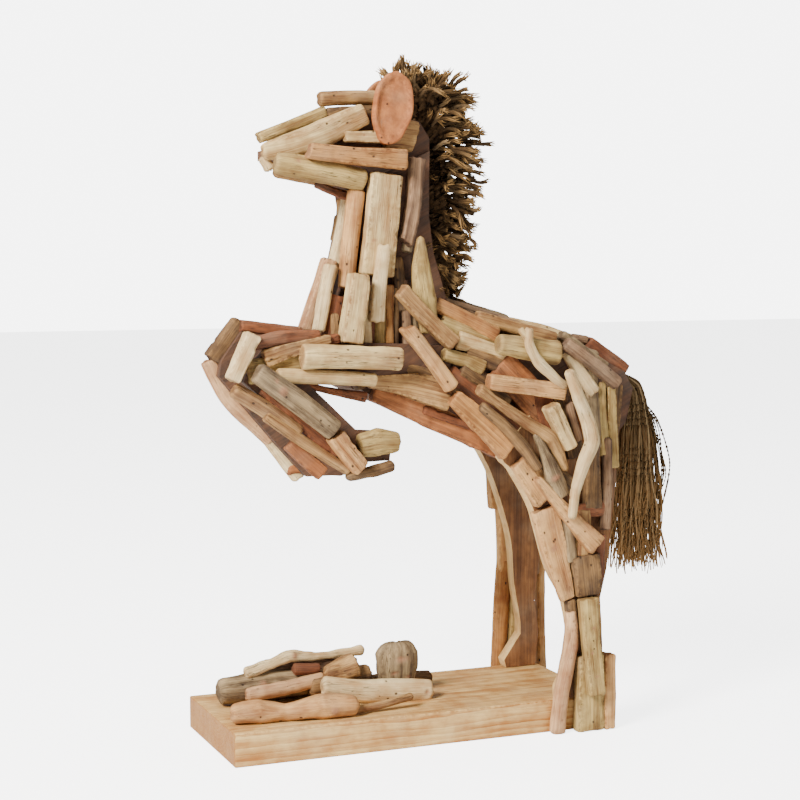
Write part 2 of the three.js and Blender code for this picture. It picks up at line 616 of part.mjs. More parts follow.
function buildHaunch() {
  stick('croup_block', 'terracotta', {
    run: [[154, -14, 273], [190, -12, 250.5]], wide: 12.5, deep: 22, section: SAWN,
  }, DOWN);
  stick('rump_stick', 'mauve', { run: [[111, -58, 276], [156.5, -58, 243.5]], wide: 11, deep: 11 });
  stick('thigh_short_block', 'tan', {
    run: [[95.5, -LEG_OUTER - 12, 229.5], [112.5, -LEG_OUTER - 12, 196.5]], wide: 11.5, deep: 12,
    section: SAWN,
  }, null);
}

function buildLeftHindLeg() {
  stick('gaskin_plank', 'terracotta', {
    run: [[94.5, -66, 150], [102.5, -66, 119], [115, -66, 79]], wide: [23, 20, 11], deep: 9, section: SAWN,
  });
  stick('thigh_diagonal_plank', 'orange', {
    run: [[85, -LEG_OUTER - 12.5, 174], [136, -LEG_OUTER - 12.5, 120.5]], wide: [5, 17], deep: 9,
    section: SAWN,
  }, null);
  stick('stifle_forked_stick', 'mauve', {
    run: [
      [83.5, -LEG_OUTER - 11, 208], [92, -LEG_OUTER - 12, 192], [99, -LEG_OUTER - 12, 175],
      [106.5, -LEG_OUTER - 12, 160],
    ],
    wide: [5, 9, 14, 11], deep: [6, 9, 9, 8],
  }, null);
  stick('thigh_bent_branch', 'cream', {
    run: [
      [106.5, -80, 256], [115.5, -80, 236.5], [125, -80, 215], [127.5, -80, 202.5], [120, -80, 184],
      [113.5, -80, 165], [110.5, -80, 143.5],
    ],
    wide: [7.5, 10, 12.5, 13, 10.5, 8, 7], deep: [7, 9, 10, 10, 9, 8, 6], section: ROUND,
  });
  stick('hock_block', 'brown', {
    run: [[128, -70, 113], [132, -70, 81.5]], wide: 24, deep: 12, section: SAWN,
  });
  sticks('left_hoof_blocks', 'olive', over(LEFT, LEG_OUTER, LEG_OUTER, [
    { run: [[133.5, 6, 35], [134.5, 6, TABLE]], wide: [22, 24], deep: 11, chamfered: true, sides: 8 },
    { run: [[150, 6, 34], [150.5, 6, TABLE]], wide: [10, 11], deep: 12, chamfered: true, sides: 8 },
  ]));
  stick('cannon_round_stick', 'cream', {
    run: [[117.5, -70, 70], [118.5, -70, 47], [115.5, -70, 30], [111, -70, 6], [107, -70, TABLE]],
    wide: [9, 12, 12.5, 12.5, 13], deep: [9, 12, 12, 12, 12], section: ROUND,
  });
  stick('cannon_flat_plank', 'olive', {
    run: [[126.5, -73, 80.5], [135.5, -73, 5]], wide: 14, deep: 9, section: SAWN,
  });
}

function buildRightSide() {
  sticks('right_head_and_neck_sticks', 'cream', RIGHT_HEAD_AND_NECK_STICKS);
  sticks('right_barrel_sticks', 'tan', RIGHT_BARREL_STICKS);
  sticks('right_hind_leg_sticks', 'olive', RIGHT_HAUNCH_AND_HIND_LEG_STICKS);
  sticks('right_foreleg_sticks', 'tan', RIGHT_FORELEG_STICKS);
}

// An oval slice with a bevelled rim, leaning back a little, pushed against the side of the head
function ear(name, x, y, h, way) {
  const outline = (grow) => {
    const oval = new THREE.Shape();
    oval.absellipse(0, 0, EAR_WIDTH / 2 + grow, EAR_LENGTH / 2 + grow, 0, 2 * Math.PI);
    return oval;
  };
  const slice = (grow) => {
    const geometry = new THREE.ExtrudeGeometry(outline(grow), {
      depth: EAR_THICKNESS - 2 * EAR_BEVEL + 2 * grow, curveSegments: 7, bevelThickness: EAR_BEVEL,
      bevelSize: EAR_BEVEL, bevelOffset: -EAR_BEVEL, bevelSegments: 1,
    });
    geometry.rotateZ(-EAR_LEAN);
    geometry.rotateX(Math.PI / 2);
    geometry.translate(x, y + EAR_THICKNESS / 2 - EAR_BEVEL + grow, h);
    return toSolid(geometry);
  };
  const home = slideHome(slice(0), way);
  const solid = clearOf(slice(0).translate(home.x, home.y, home.z));
  lay(name, solid, slice(GLUE_GAP).translate(home.x, home.y, home.z), 'terracotta');
}

// A crest of twine behind the neck, from the forelock to the withers, with tufts hanging back and down
const CREST = [[16, 0, 466], [30, 0, 452], [38, 0, 410], [35, 0, 370], [33, 0, 335], [37, 0, 309]];
const TUFT_FAN = [-9, 0, 9];

function mane() {
  const curve = new THREE.CatmullRomCurve3(CREST.map((p) => new THREE.Vector3(...p)));
  const crest = driftwood({
    run: CREST, wide: [18, 32, 34, 32, 26, 14], deep: CREST_THICKNESS, section: ROUND,
  });
  const tufts = [];
  for (let row = 0; row < MANE_ROWS; row += 1) {
    const share = row / (MANE_ROWS - 1);
    const root = curve.getPoint(0.06 + 0.86 * share);
    for (const [k, fan] of TUFT_FAN.entries()) {
      const droop = -0.15 - 0.75 * share + 0.35 * Math.sin(2.4 * row + 1.7 * k);
      const length = MANE_TUFT_LENGTH * (1 - 0.32 * share) * (0.9 + 0.14 * Math.sin(3.1 * row + 2.2 * k));
      const middle = [root.x + 0.55 * length, fan * 1.2, root.z + 0.45 * droop * length];
      const tip = [root.x + 0.9 * length, fan * 1.5, root.z + 1.05 * droop * length];
      tufts.push(driftwood({
        run: [[root.x, fan * 0.7, root.z], middle, tip], wide: [MANE_TUFT_THICKNESS, MANE_TUFT_THICKNESS, 3],
        deep: [MANE_TUFT_THICKNESS, MANE_TUFT_THICKNESS, 3], section: ROUND, sides: 5, chamfered: false,
      }));
    }
  }
  for (const side of [-1, 0, 1]) {
    tufts.push(driftwood({
      run: [[16, 5 * side, 458], [19, 7 * side, 472], [24 + 3 * side, 9 * side, 482]], wide: [12, 10, 3],
      deep: [12, 10, 3], section: ROUND, sides: 5, chamfered: false,
    }));
  }
  const whole = fuse([crest, ...tufts]);
  lay('mane_rope_tufts', clearOf(whole), whole, 'mane');
}

// A hank of twine strands hung from the back of the rump, ragged below
const TAIL_ROOT = [190, 0, 250];
const TAIL_SHOULDER = [208, 0, 236];
const TAIL_MIDDLE = [212, 0, 170];
const TAIL_TIP = [214, 0, 92];

function tail() {
  const bundles = [driftwood({
    run: [TAIL_ROOT, TAIL_SHOULDER, TAIL_MIDDLE, [TAIL_TIP[0], 0, 104]], wide: [20, 28, 42, 42],
    deep: [16, 20, 22, 18], section: ROUND, sides: 8,
  })];
  for (let i = 0; i < TAIL_BUNDLES; i += 1) {
    const turn = (2 * Math.PI * i) / TAIL_BUNDLES;
    const out = Math.cos(turn);
    const side = Math.sin(turn);
    const drop = 9 * Math.sin(2.7 * i);
    bundles.push(driftwood({
      run: [
        [TAIL_SHOULDER[0] + 8 * out, 7 * side, TAIL_SHOULDER[2] - 6],
        [TAIL_MIDDLE[0] + 17 * out, TAIL_SPREAD * side, TAIL_MIDDLE[2]],
        [TAIL_TIP[0] + 22 * out, TAIL_SPREAD * side, TAIL_TIP[2] + drop],
      ],
      wide: [8, TAIL_BUNDLE_THICKNESS, 4], deep: [8, TAIL_BUNDLE_THICKNESS, 4], section: ROUND, sides: 5,
      chamfered: false,
    }));
  }
  const whole = fuse(bundles);
  lay('tail_rope_strands', clearOf(whole), whole, 'tail');
}

// Driftwood glued in a heap on the plank, under the forelegs
function heap() {
  sticks('heap_front_log_and_twig', 'terracotta', [
    {
      run: onPlank([[5, 26, 8], [26, 23, 8.8], [45, 20, 7.5], [72, 17, 9], [100, 15, 8]]),
      wide: [14, 17, 13, 18, 15], deep: [14, 17, 13, 18, 15], section: ROUND, sides: 8, chamfered: true,
    },
    {
      run: onPlank([[98, 18, 3.6], [124, 20, 5.5], [147, 21, 9]]), wide: [6, 6, 7], deep: [6, 6, 7],
      section: ROUND, sides: 8,
    },
  ]);
  sticks('heap_back_logs', 'mauve', [
    { run: onPlank([[29, 67, 9], [89, 67, 13]]), wide: 9, deep: 9, section: ROUND, sides: 8 },
    {
      run: onPlank([[13, 80, 11], [46, 80, 12], [80, 80, 10]]), wide: [20, 21, 17], deep: [20, 21, 17],
      section: ROUND, sides: 8, chamfered: true,
    },
    { run: onPlank([[30, 94, 6.8], [106, 93, 6.8]]), wide: 13, deep: 13, section: ROUND, sides: 8 },
  ]);
  stick('heap_long_log', 'cream', {
    run: onPlank([[87, 52, 15], [130, 47, 10], [172, 42, 8]]),
    wide: [14, 16, 15],
    deep: [14, 16, 15],
    section: ROUND,
  }, DOWN);
  stick('heap_right_log', 'brown', {
    run: onPlank([[128, 80, 6.5], [187, 80, 6.5]]), wide: 13, deep: 13, section: ROUND,
  }, DOWN);
  stick('heap_slab', 'mauve', {
    run: onPlank([[151, 63, 41.5], [151, 63, 36], [151, 63, 22], [151.5, 63, 0.5]]), wide: [19, 31, 33, 24],
    deep: [10, 13, 14, 13],
  }, DOWN);
  stick('heap_stub', 'tan', {
    run: onPlank([[92, 61, 27], [104, 61, 30], [116, 61, 34]]), wide: [11, 15, 17], deep: [12, 15, 17],
  }, DOWN);
  stick('heap_wavy_branch', 'cream', {
    run: onPlank([
      [31, 76, 29], [50.5, 76, 34.5], [67, 77, 39.5], [88, 77, 38], [109.5, 77, 38.5], [128.5, 76, 40],
    ]),
    wide: [9, 8.5, 9.5, 8, 7.5, 8], deep: [9, 8.5, 9.5, 8, 7.5, 8], section: ROUND,
  }, DOWN);
}

plinth();
legBoard('left_hind_leg_board', NEAR_HIND_LEG.map(([x, h]) => [x, h + GLUE_GAP]), -LEG_OUTER, -LEG_INNER);
legBoard('right_hind_leg_board', FAR_HIND_LEG.map(([x, h]) => [x, h + GLUE_GAP]), LEG_OUTER, LEG_INNER);
legBoard('left_foreleg_board', NEAR_FORELEG, -FORELEG_OUTER, -FORELEG_INNER);
legBoard('right_foreleg_board', FAR_FORELEG, FORELEG_OUTER, FORELEG_INNER);
bodyBoard();
buildInfill();
buildHead();
buildNeck();
buildLeftForeleg();
buildLeftBarrel();
buildHaunch();
buildLeftHindLeg();
buildRightSide();
ear('left_ear_slice', -17.5, -42, 450.3, TO_THE_RIGHT);
ear('right_ear_slice', 0, 42, 451, TO_THE_LEFT);
mane();
tail();
heap();

export default part;
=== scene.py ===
"""A rearing horse of driftwood sticks glued over sawn boards, on a pine plank with a heap of driftwood.

Sizes are in millimetres and are turned into metres as each mesh is laid in place. +X runs towards the tail, -Y is
the horse's left side and +Z is up. Heights called h are taken from the plank's top, as the maker measured them.
"""

import logging
import math
from dataclasses import dataclass, replace
from enum import Enum

import bmesh
import bpy
import numpy as np
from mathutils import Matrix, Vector

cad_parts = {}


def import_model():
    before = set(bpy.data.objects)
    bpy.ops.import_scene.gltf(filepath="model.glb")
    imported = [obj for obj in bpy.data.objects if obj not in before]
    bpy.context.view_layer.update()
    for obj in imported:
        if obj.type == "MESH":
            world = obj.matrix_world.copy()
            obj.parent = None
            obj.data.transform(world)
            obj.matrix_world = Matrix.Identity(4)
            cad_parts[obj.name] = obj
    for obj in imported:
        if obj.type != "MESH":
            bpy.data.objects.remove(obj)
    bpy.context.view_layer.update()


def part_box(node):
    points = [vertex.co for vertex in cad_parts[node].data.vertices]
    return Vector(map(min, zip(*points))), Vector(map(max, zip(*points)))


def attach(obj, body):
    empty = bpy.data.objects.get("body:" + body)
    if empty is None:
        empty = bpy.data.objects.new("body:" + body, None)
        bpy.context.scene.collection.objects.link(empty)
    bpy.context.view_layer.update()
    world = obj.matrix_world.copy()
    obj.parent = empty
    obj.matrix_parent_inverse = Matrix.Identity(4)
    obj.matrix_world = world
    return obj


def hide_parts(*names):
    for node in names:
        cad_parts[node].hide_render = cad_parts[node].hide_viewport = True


LOG = logging.getLogger("driftwood_horse")

MM = 0.001
PLANK_THICKNESS = 25.0
TABLE = -PLANK_THICKNESS
LEG_OUTER = 60.0
BODY = "root"


class Cut(Enum):
    """How square a stick's section is: the exponent of a superellipse."""

    ROUND = 2.0
    WORN = 3.4
    SAWN = 9.0


ROUND, WORN, SAWN = Cut


class Side(Enum):
    """The side of the horse that a stick's good face looks to."""

    LEFT = -1.0
    RIGHT = 1.0


@dataclass(frozen=True)
class Wood:
    """The finish of one kind of driftwood.

    Colours are sRGB from 0 to 255. Streak, fibre, crack and worm say how strongly each shows, from 0 to 1.
    """

    name: str
    slot: str
    light: tuple
    dark: tuple
    streak: float = 0.5
    fibre: float = 0.5
    crack: float = 0.35
    worm: float = 0.25
    ring: float = 0.3
    rough: float = 0.72


CREAM = Wood("cream_driftwood", "cream", (236, 208, 146), (150, 106, 58), 0.5, 0.65, 0.6, 0.35, 0.25)
PALE = Wood("bleached_driftwood", "cream", (240, 216, 164), (172, 130, 80), 0.45, 0.6, 0.5, 0.35, 0.2)
TAN = Wood("tan_driftwood", "tan", (206, 162, 100), (108, 68, 34), 0.6, 0.75, 0.7, 0.25, 0.35)
OLIVE = Wood("olive_driftwood", "olive", (212, 182, 112), (118, 86, 42), 0.55, 0.7, 0.6, 0.25, 0.35)
ORANGE = Wood("orange_driftwood", "orange", (208, 150, 84), (120, 70, 32), 0.55, 0.7, 0.6, 0.2, 0.4)
PEACH = Wood("peach_driftwood", "orange", (228, 178, 114), (144, 90, 48), 0.5, 0.6, 0.5, 0.25, 0.3)
PINK = Wood("pink_driftwood", "cream", (226, 182, 132), (144, 92, 58), 0.5, 0.6, 0.5, 0.25, 0.2)
TERRACOTTA = Wood("terracotta_driftwood", "terracotta", (188, 118, 66), (108, 58, 28), 0.55, 0.7, 0.6, 0.15, 0.35)
RED = Wood("red_driftwood", "terracotta", (150, 86, 48), (78, 40, 22), 0.55, 0.7, 0.6, 0.15, 0.3)
BROWN = Wood("brown_driftwood", "brown", (154, 116, 70), (62, 40, 22), 0.65, 0.8, 0.7, 0.35, 0.3)
GREY = Wood("grey_driftwood", "mauve", (172, 146, 106), (78, 60, 40), 0.65, 0.8, 0.7, 0.3, 0.25)
MAUVE = Wood("mauve_driftwood", "mauve", (164, 128, 94), (76, 52, 36), 0.65, 0.8, 0.7, 0.25, 0.25)
PINE = Wood("planed_pine", "pine", (240, 204, 134), (170, 110, 48), 0.5, 0.3, 0.1, 0.0, 1.0, 0.5)
BOARD = Wood("sawn_brown_board", "board", (156, 106, 62), (86, 52, 28), 0.6, 0.6, 0.2, 0.05, 0.5, 0.8)
CORE = Wood("sawn_body_board", "board", (96, 58, 30), (44, 24, 11), 0.6, 0.6, 0.2, 0.05, 0.5, 0.8)
EAR_WOOD = Wood("cut_branch_slice", "terracotta", (198, 124, 70), (138, 76, 38), 0.5, 0.25, 0.3, 0.25, 0.3)
SAWN_EDGE = Wood("fresh_sawn_edge", "pine", (238, 204, 142), (184, 136, 78), 0.4, 0.4, 0.1, 0.0, 0.4, 0.7)


VECTOR, COLOUR, NUMBER = "NodeSocketVector", "NodeSocketColor", "NodeSocketFloat"


def linear(colour: tuple) -> tuple:
    """Turns an sRGB colour from 0 to 255 into a linear RGBA colour.

    Args:
        colour: red, green and blue from 0 to 255.

    Returns:
        The linear colour with an alpha of 1.
    """
    shares = [c / 255 for c in colour]
    return tuple(s / 12.92 if s <= 0.04045 else ((s + 0.055) / 1.055) ** 2.4 for s in shares) + (1.0,)


class Value:
    """What a socket puts out, which is added, subtracted and multiplied like a number."""

    def __init__(self, graph: "NodeGraph", socket: bpy.types.NodeSocket) -> None:
        """Holds the socket and the graph that it is in."""
        self.graph = graph
        self.socket = socket

    def __add__(self, other: object) -> "Value":
        """Adds a value or a number."""
        return self.graph.maths("ADD", self, other)

    def __sub__(self, other: object) -> "Value":
        """Takes a value or a number away."""
        return self.graph.maths("SUBTRACT", self, other)

    def __rsub__(self, other: float) -> "Value":
        """Takes this value away from a number."""
        return self.graph.maths("SUBTRACT", other, self)

    def __mul__(self, other: object) -> "Value":
        """Multiplies by a value or a number."""
        return self.graph.maths("MULTIPLY", self, other)

    def held(self) -> "Value":
        """Holds the sum or product that gave this value between 0 and 1."""
        self.socket.node.use_clamp = True
        return self


class NodeGraph:
    """A small helper that adds and joins nodes of one tree."""

    def __init__(self, tree: bpy.types.NodeTree) -> None:
        """Holds the tree that nodes are added to."""
        self.tree = tree

    def feed(self, node: bpy.types.Node, inputs: dict) -> None:
        """Joins each input, by name or number, to its value, or sets it where that is a plain number or colour."""
        for key, value in inputs.items():
            if isinstance(value, Value):
                self.tree.links.new(value.socket, node.inputs[key])
            else:
                node.inputs[key].default_value = value

    def add(self, kind: str, inputs: dict | None = None, **settings: object) -> bpy.types.Node:
        """Adds a node.

        Args:
            kind: the node's type name.
            inputs: input name or number to a value, a number or a colour.
            **settings: properties of the node.

        Returns:
            The new node.
        """
        node = self.tree.nodes.new(kind)
        for key, value in settings.items():
            setattr(node, key, value)
        self.feed(node, inputs or {})
        return node

    def get(self, node: bpy.types.Node, output: str | int = 0) -> Value:
        """Returns what one output of a node puts out."""
        return Value(self, node.outputs[output])

    def attribute(self, name: str) -> Value:
        """Returns a vector that is stored on the mesh."""
        return self.get(self.add("ShaderNodeAttribute", attribute_name=name), "Vector")

    def maths(self, operation: str, first: object, second: object = 0.0) -> Value:
        """Returns the result of a maths node on values or numbers."""
        return self.get(self.add("ShaderNodeMath", {0: first, 1: second}, operation=operation))

    def blend(self, factor: object, first: object, second: object) -> Value:
        """Returns a mix of two colours."""
        return self.get(self.add("ShaderNodeMix", {0: factor, 6: first, 7: second}, data_type="RGBA"), 2)

    def noise(self, place: Value, scale: float | tuple, detail: float = 4.0, rough: float = 0.6) -> Value:
        """Returns noise at a place, which is stretched first where the scale is a tuple."""
        if isinstance(scale, tuple):
            place, scale = self.stretched(place, scale), 1.0
        inputs = {"Vector": place, "Scale": scale, "Detail": detail, "Roughness": rough}
        return self.get(self.add("ShaderNodeTexNoise", inputs), "Fac")

    def stretched(self, place: Value, scale: tuple) -> Value:
        """Returns a place scaled by different amounts along its axes."""
        return self.get(self.add("ShaderNodeMapping", {"Vector": place, "Scale": scale}))

    def rings(self, place: Value, profile: str, inputs: dict) -> Value:
        """Returns growth rings about the X axis."""
        settings = {"wave_type": "RINGS", "rings_direction": "X", "wave_profile": profile}
        return self.get(self.add("ShaderNodeTexWave", {"Vector": place, **inputs}, **settings), "Fac")

    def between(self, value: Value, low: float, high: float) -> Value:
        """Maps a value from low to high onto 0 to 1 smoothly and returns it."""
        inputs = {"Value": value, "From Min": low, "From Max": high}
        return self.get(self.add("ShaderNodeMapRange", inputs, interpolation_type="SMOOTHSTEP"), "Result")

    def surface(self, last: bpy.types.Node, height: Value, strength: float, distance: float) -> None:
        """Feeds the shader with the last group's colour and roughness and with a bumped height."""
        bump = self.add("ShaderNodeBump", {"Height": height, "Strength": strength, "Distance": distance})
        self.feed(self.tree.nodes["Principled BSDF"], {
            "Base Color": self.get(last, "Color"), "Roughness": self.get(last, "Roughness"),
            "Normal": self.get(bump, "Normal"),
        })


def new_group(name: str, inputs: dict, outputs: tuple) -> tuple:
    """Makes a shader node group with named sockets.

    Args:
        name: the group's name.
        inputs: socket name to VECTOR, COLOUR or, for a number, its default.
        outputs: the outputs' names, of which Color is a colour and the others are numbers.

    Returns:
        The graph, its inputs' values by name, and the node that takes its outputs.
    """
    tree = bpy.data.node_groups.new(name, "ShaderNodeTree")
    for key, value in inputs.items():
        kind = value if isinstance(value, str) else NUMBER
        socket = tree.interface.new_socket(name=key, in_out="INPUT", socket_type=kind)
        if kind == NUMBER:
            socket.default_value = value
    for key in outputs:
        tree.interface.new_socket(name=key, in_out="OUTPUT", socket_type=COLOUR if key == "Color" else NUMBER)
    graph = NodeGraph(tree)
    given = graph.add("NodeGroupInput")
    return graph, {key: graph.get(given, key) for key in inputs}, graph.add("NodeGroupOutput")


def grain_group() -> bpy.types.NodeTree:
    """Builds the wood grain: streaks, fibres and growth rings that run along a stick.

    Returns:
        The node group, with the outputs Color and Height.
    """
    inputs = {"Place": VECTOR, "Light": COLOUR, "Dark": COLOUR, "Streak": 0.5, "Fibre": 0.5, "Ring": 0.3}
    g, given, out = new_group("wood_grain", inputs, ("Color", "Height"))
    place = given["Place"]
    broad = g.between(g.noise(place, (0.012, 0.16, 0.16), 5.0, 0.55), 0.32, 0.68)
    fibres = g.between(g.noise(place, (0.035, 1.3, 1.3), 5.0, 0.7), 0.3, 0.7)
    fine = g.noise(place, (0.12, 4.0, 4.0), 3.0)
    slanted = g.stretched(place, (0.16, 1.0, 1.0))
    rings = g.rings(slanted, "SAW", {"Scale": 0.11, "Distortion": 5.0, "Detail": 3.0, "Detail Scale": 0.6})
    blotch = g.between(g.noise(place, 0.045, 3.0, 0.5), 0.35, 0.7)
    shade = broad * given["Streak"] + fibres * given["Fibre"] * 0.6 + rings * (given["Ring"] * 0.5)
    shade = (shade + (blotch - 0.5) * 0.34).held()
    colour = g.blend(fine * 0.16, g.blend(shade, given["Light"], given["Dark"]), (0.18, 0.12, 0.08, 1.0))
    lines = g.between(g.noise(place, (0.02, 0.9, 0.9), 4.0, 0.65), 0.56, 0.68) * given["Fibre"]
    colour = g.blend(lines * 0.62, colour, (0.13, 0.07, 0.035, 1.0))
    height = fibres * -0.6 + fine * -0.4 + rings * (given["Ring"] * -0.3)
    g.feed(out, {"Color": colour, "Height": height})
    return g.tree


def weather_group() -> bpy.types.NodeTree:
    """Builds the weathering: cracks along the grain, worm holes, and bleached patches.

    Returns:
        The node group, with the outputs Color, Roughness and Height.
    """
    inputs = {"Place": VECTOR, "Color": COLOUR, "Crack": 0.3, "Worm": 0.2, "Rough": 0.7, "Bleach": 0.16}
    g, given, out = new_group("beach_weathering", inputs, ("Color", "Roughness", "Height"))
    place = given["Place"]
    lines = g.noise(place, (0.02, 0.55, 0.55), 3.0, 0.5)
    thin = 1.0 - g.between(g.maths("ABSOLUTE", lines - 0.5), 0.0, 0.012)
    patch = g.between(g.noise(place, (0.02, 0.08, 0.08), 2.0, 0.5), 0.45, 0.62)
    crack = (thin * patch * given["Crack"]).held()
    cells = {"Vector": g.stretched(place, (0.75, 1.0, 1.0)), "Scale": 0.17, "Randomness": 1.0}
    holes = g.add("ShaderNodeTexVoronoi", cells, feature="F1")
    dot = 1.0 - g.between(g.get(holes, "Distance"), 0.09, 0.17)
    chosen = g.get(g.add("ShaderNodeSeparateColor", {0: g.get(holes, "Color")}))
    hole = (dot * g.maths("LESS_THAN", chosen, given["Worm"])).held()
    bleach = g.between(g.noise(place, 0.03, 3.0), 0.45, 0.8) * given["Bleach"]
    colour = g.blend(bleach, given["Color"], (0.47, 0.38, 0.25, 1.0))
    colour = g.blend((crack * 1.6).held(), colour, (0.06, 0.035, 0.02, 1.0))
    colour = g.blend(hole * 0.88, colour, (0.035, 0.02, 0.012, 1.0))
    rough = (given["Rough"] + (lines - 0.5) * 0.3).held()
    g.feed(out, {"Color": colour, "Roughness": rough, "Height": crack * -2.2 + hole * -2.6})
    return g.tree


def wear_and_painted_edge_light_group() -> bpy.types.NodeTree:
    """Builds the wear that the shaping leaves and some painted light: corners rubbed pale in patches, partly worn
    wood and partly a painted highlight, and darkened in others, partly dirt and partly painted shade; ringed end
    grain and dark knots.

    Returns:
        The node group, with the output Color and a Height.
    """
    inputs = {"Color": COLOUR, "Place": VECTOR, "Marks": VECTOR, "Light": COLOUR, "Dark": COLOUR}
    g, given, out = new_group("handled_wear_and_painted_edge_light", inputs, ("Color", "Height"))
    place, dark = given["Place"], given["Dark"]
    marks = g.add("ShaderNodeSeparateXYZ", {0: given["Marks"]})
    end, corner, knot = (g.get(marks, number) for number in range(3))
    scuff = g.between(g.noise(place, 0.3, 3.0), 0.38, 0.62)
    grime = g.between(g.noise(place, 0.09), 0.4, 0.7)
    colour = g.blend(grime * 0.3, given["Color"], dark)
    # Corner colour, patch by patch: pale rubbed wood that doubles as a painted highlight, and dark brown that is
    # partly dirt and partly the painted shade of the gaps between sticks.
    rubbed_highlight_and_shade = g.blend(scuff, g.blend(0.45, dark, (0.07, 0.035, 0.02, 1.0)), given["Light"])
    colour = g.blend((corner * 0.62).held(), colour, rubbed_highlight_and_shade)
    rings = g.rings(place, "SIN", {"Scale": 0.32, "Distortion": 1.4, "Detail": 2.0})
    colour = g.blend(end * 0.75, colour, g.blend(rings * 0.5, dark, (0.1, 0.055, 0.03, 1.0)))
    knotwood = g.blend(g.noise(place, 0.5, 2.0, 0.5), (0.22, 0.09, 0.045, 1.0), (0.42, 0.2, 0.1, 1.0))
    colour = g.blend((knot * 0.85).held(), colour, knotwood)
    g.feed(out, {"Color": colour, "Height": rings * end * -0.4})
    return g.tree


def twine_group() -> bpy.types.NodeTree:
    """Builds jute twine: twisted fibres, dark at the root and golden at the frayed tip.

    Returns:
        The node group, with the outputs Color, Roughness and Height.
    """
    inputs = {"Place": VECTOR, "Marks": VECTOR, "Root": COLOUR, "Tip": COLOUR}
    g, given, out = new_group("jute_twine", inputs, ("Color", "Roughness", "Height"))
    marks = g.add("ShaderNodeSeparateXYZ", {0: given["Marks"]})
    fuzz = g.noise(given["Place"], (0.5, 3.0, 3.0), 4.0, 0.7)
    share = (g.get(marks, 0) * 0.9 + (fuzz - 0.5) * 0.7).held()
    colour = g.blend(share, given["Root"], given["Tip"])
    colour = g.blend((g.get(marks, 1) * 0.6).held(), colour, (0.42, 0.29, 0.15, 1.0))
    g.feed(out, {"Color": colour, "Roughness": fuzz * 0.2 + 0.75, "Height": fuzz})
    return g.tree


class Finishes:
    """Makes each material once, from the shared node groups."""

    def __init__(self) -> None:
        """Builds the shared groups."""
        self.grain = grain_group()
        self.weather = weather_group()
        self.wear_and_painted_edge_light = wear_and_painted_edge_light_group()
        self.twine = twine_group()
        self.made: dict[str, bpy.types.Material] = {}

    def _start(self, name: str, specular: float) -> NodeGraph:
        """Makes a material with a Principled BSDF and returns its graph."""
        material = self.made[name] = bpy.data.materials.new(name)
        material.use_nodes = True
        material.node_tree.nodes["Principled BSDF"].inputs["Specular IOR Level"].default_value = specular
        return NodeGraph(material.node_tree)

    def wood(self, wood: Wood) -> bpy.types.Material:
        """Returns the material of a kind of wood on pieces that store their grain.

        Args:
            wood: the finish.

        Returns:
            The material, made at its first use.
        """
        if wood.name not in self.made:
            g = self._start(wood.name, 0.25)
            shared = {"Place": g.attribute("grain"), "Light": linear(wood.light), "Dark": linear(wood.dark)}
            grain = g.add("ShaderNodeGroup", {
                **shared, "Streak": wood.streak, "Fibre": wood.fibre, "Ring": wood.ring,
            }, node_tree=self.grain)
            # This group paints the corners pale, partly as a highlight, and dark, partly as shade, besides the knots,
            # end grain and grime.
            wear_and_painted_edge_light = g.add("ShaderNodeGroup", {
                **shared, "Color": g.get(grain, "Color"), "Marks": g.attribute("marks"),
            }, node_tree=self.wear_and_painted_edge_light)
            weather = g.add("ShaderNodeGroup", {
                "Place": shared["Place"], "Color": g.get(wear_and_painted_edge_light, "Color"),
                "Crack": wood.crack, "Worm": wood.worm, "Rough": wood.rough,
            }, node_tree=self.weather)
            height = g.get(grain, "Height") + (g.get(weather, "Height") + g.get(wear_and_painted_edge_light, "Height"))
            g.surface(weather, height, 0.8, 0.0005)
        return self.made[wood.name]

    def plain_board(self, wood: Wood) -> bpy.types.Material:
        """Returns a board's material for solids that store no grain: it reads Object coordinates.

        Args:
            wood: the finish.

        Returns:
            The material, made at its first use.
        """
        if wood.name not in self.made:
            g = self._start(wood.name, 0.5)
            turned = g.get(g.add("ShaderNodeMapping", {
                "Vector": g.get(g.add("ShaderNodeTexCoord"), "Object"), "Rotation": (0.0, 0.5, 0.0),
                "Scale": (1 / MM, 1 / MM, 1 / MM),
            }))
            grain = g.add("ShaderNodeGroup", {
                "Place": turned, "Light": linear(wood.light), "Dark": linear(wood.dark),
                "Streak": wood.streak, "Fibre": wood.fibre,
            }, node_tree=self.grain)
            weather = g.add("ShaderNodeGroup", {
                "Place": turned, "Color": g.get(grain, "Color"), "Crack": 0.3, "Rough": wood.rough, "Bleach": 0.02,
            }, node_tree=self.weather)
            g.surface(weather, g.get(grain, "Height"), 0.5, 0.0005)
        return self.made[wood.name]

    def jute(self, name: str, root: tuple, tip: tuple) -> bpy.types.Material:
        """Returns a twine material.

        Args:
            name: the material's name.
            root: sRGB colour where the twine is glued.
            tip: sRGB colour of its frayed end.

        Returns:
            The new material.
        """
        g = self._start(name, 0.15)
        twine = g.add("ShaderNodeGroup", {
            "Place": g.attribute("grain"), "Marks": g.attribute("marks"),
            "Root": linear(root), "Tip": linear(tip),
        }, node_tree=self.twine)
        g.surface(twine, g.get(twine, "Height"), 0.6, 0.0003)
        return self.made[name]


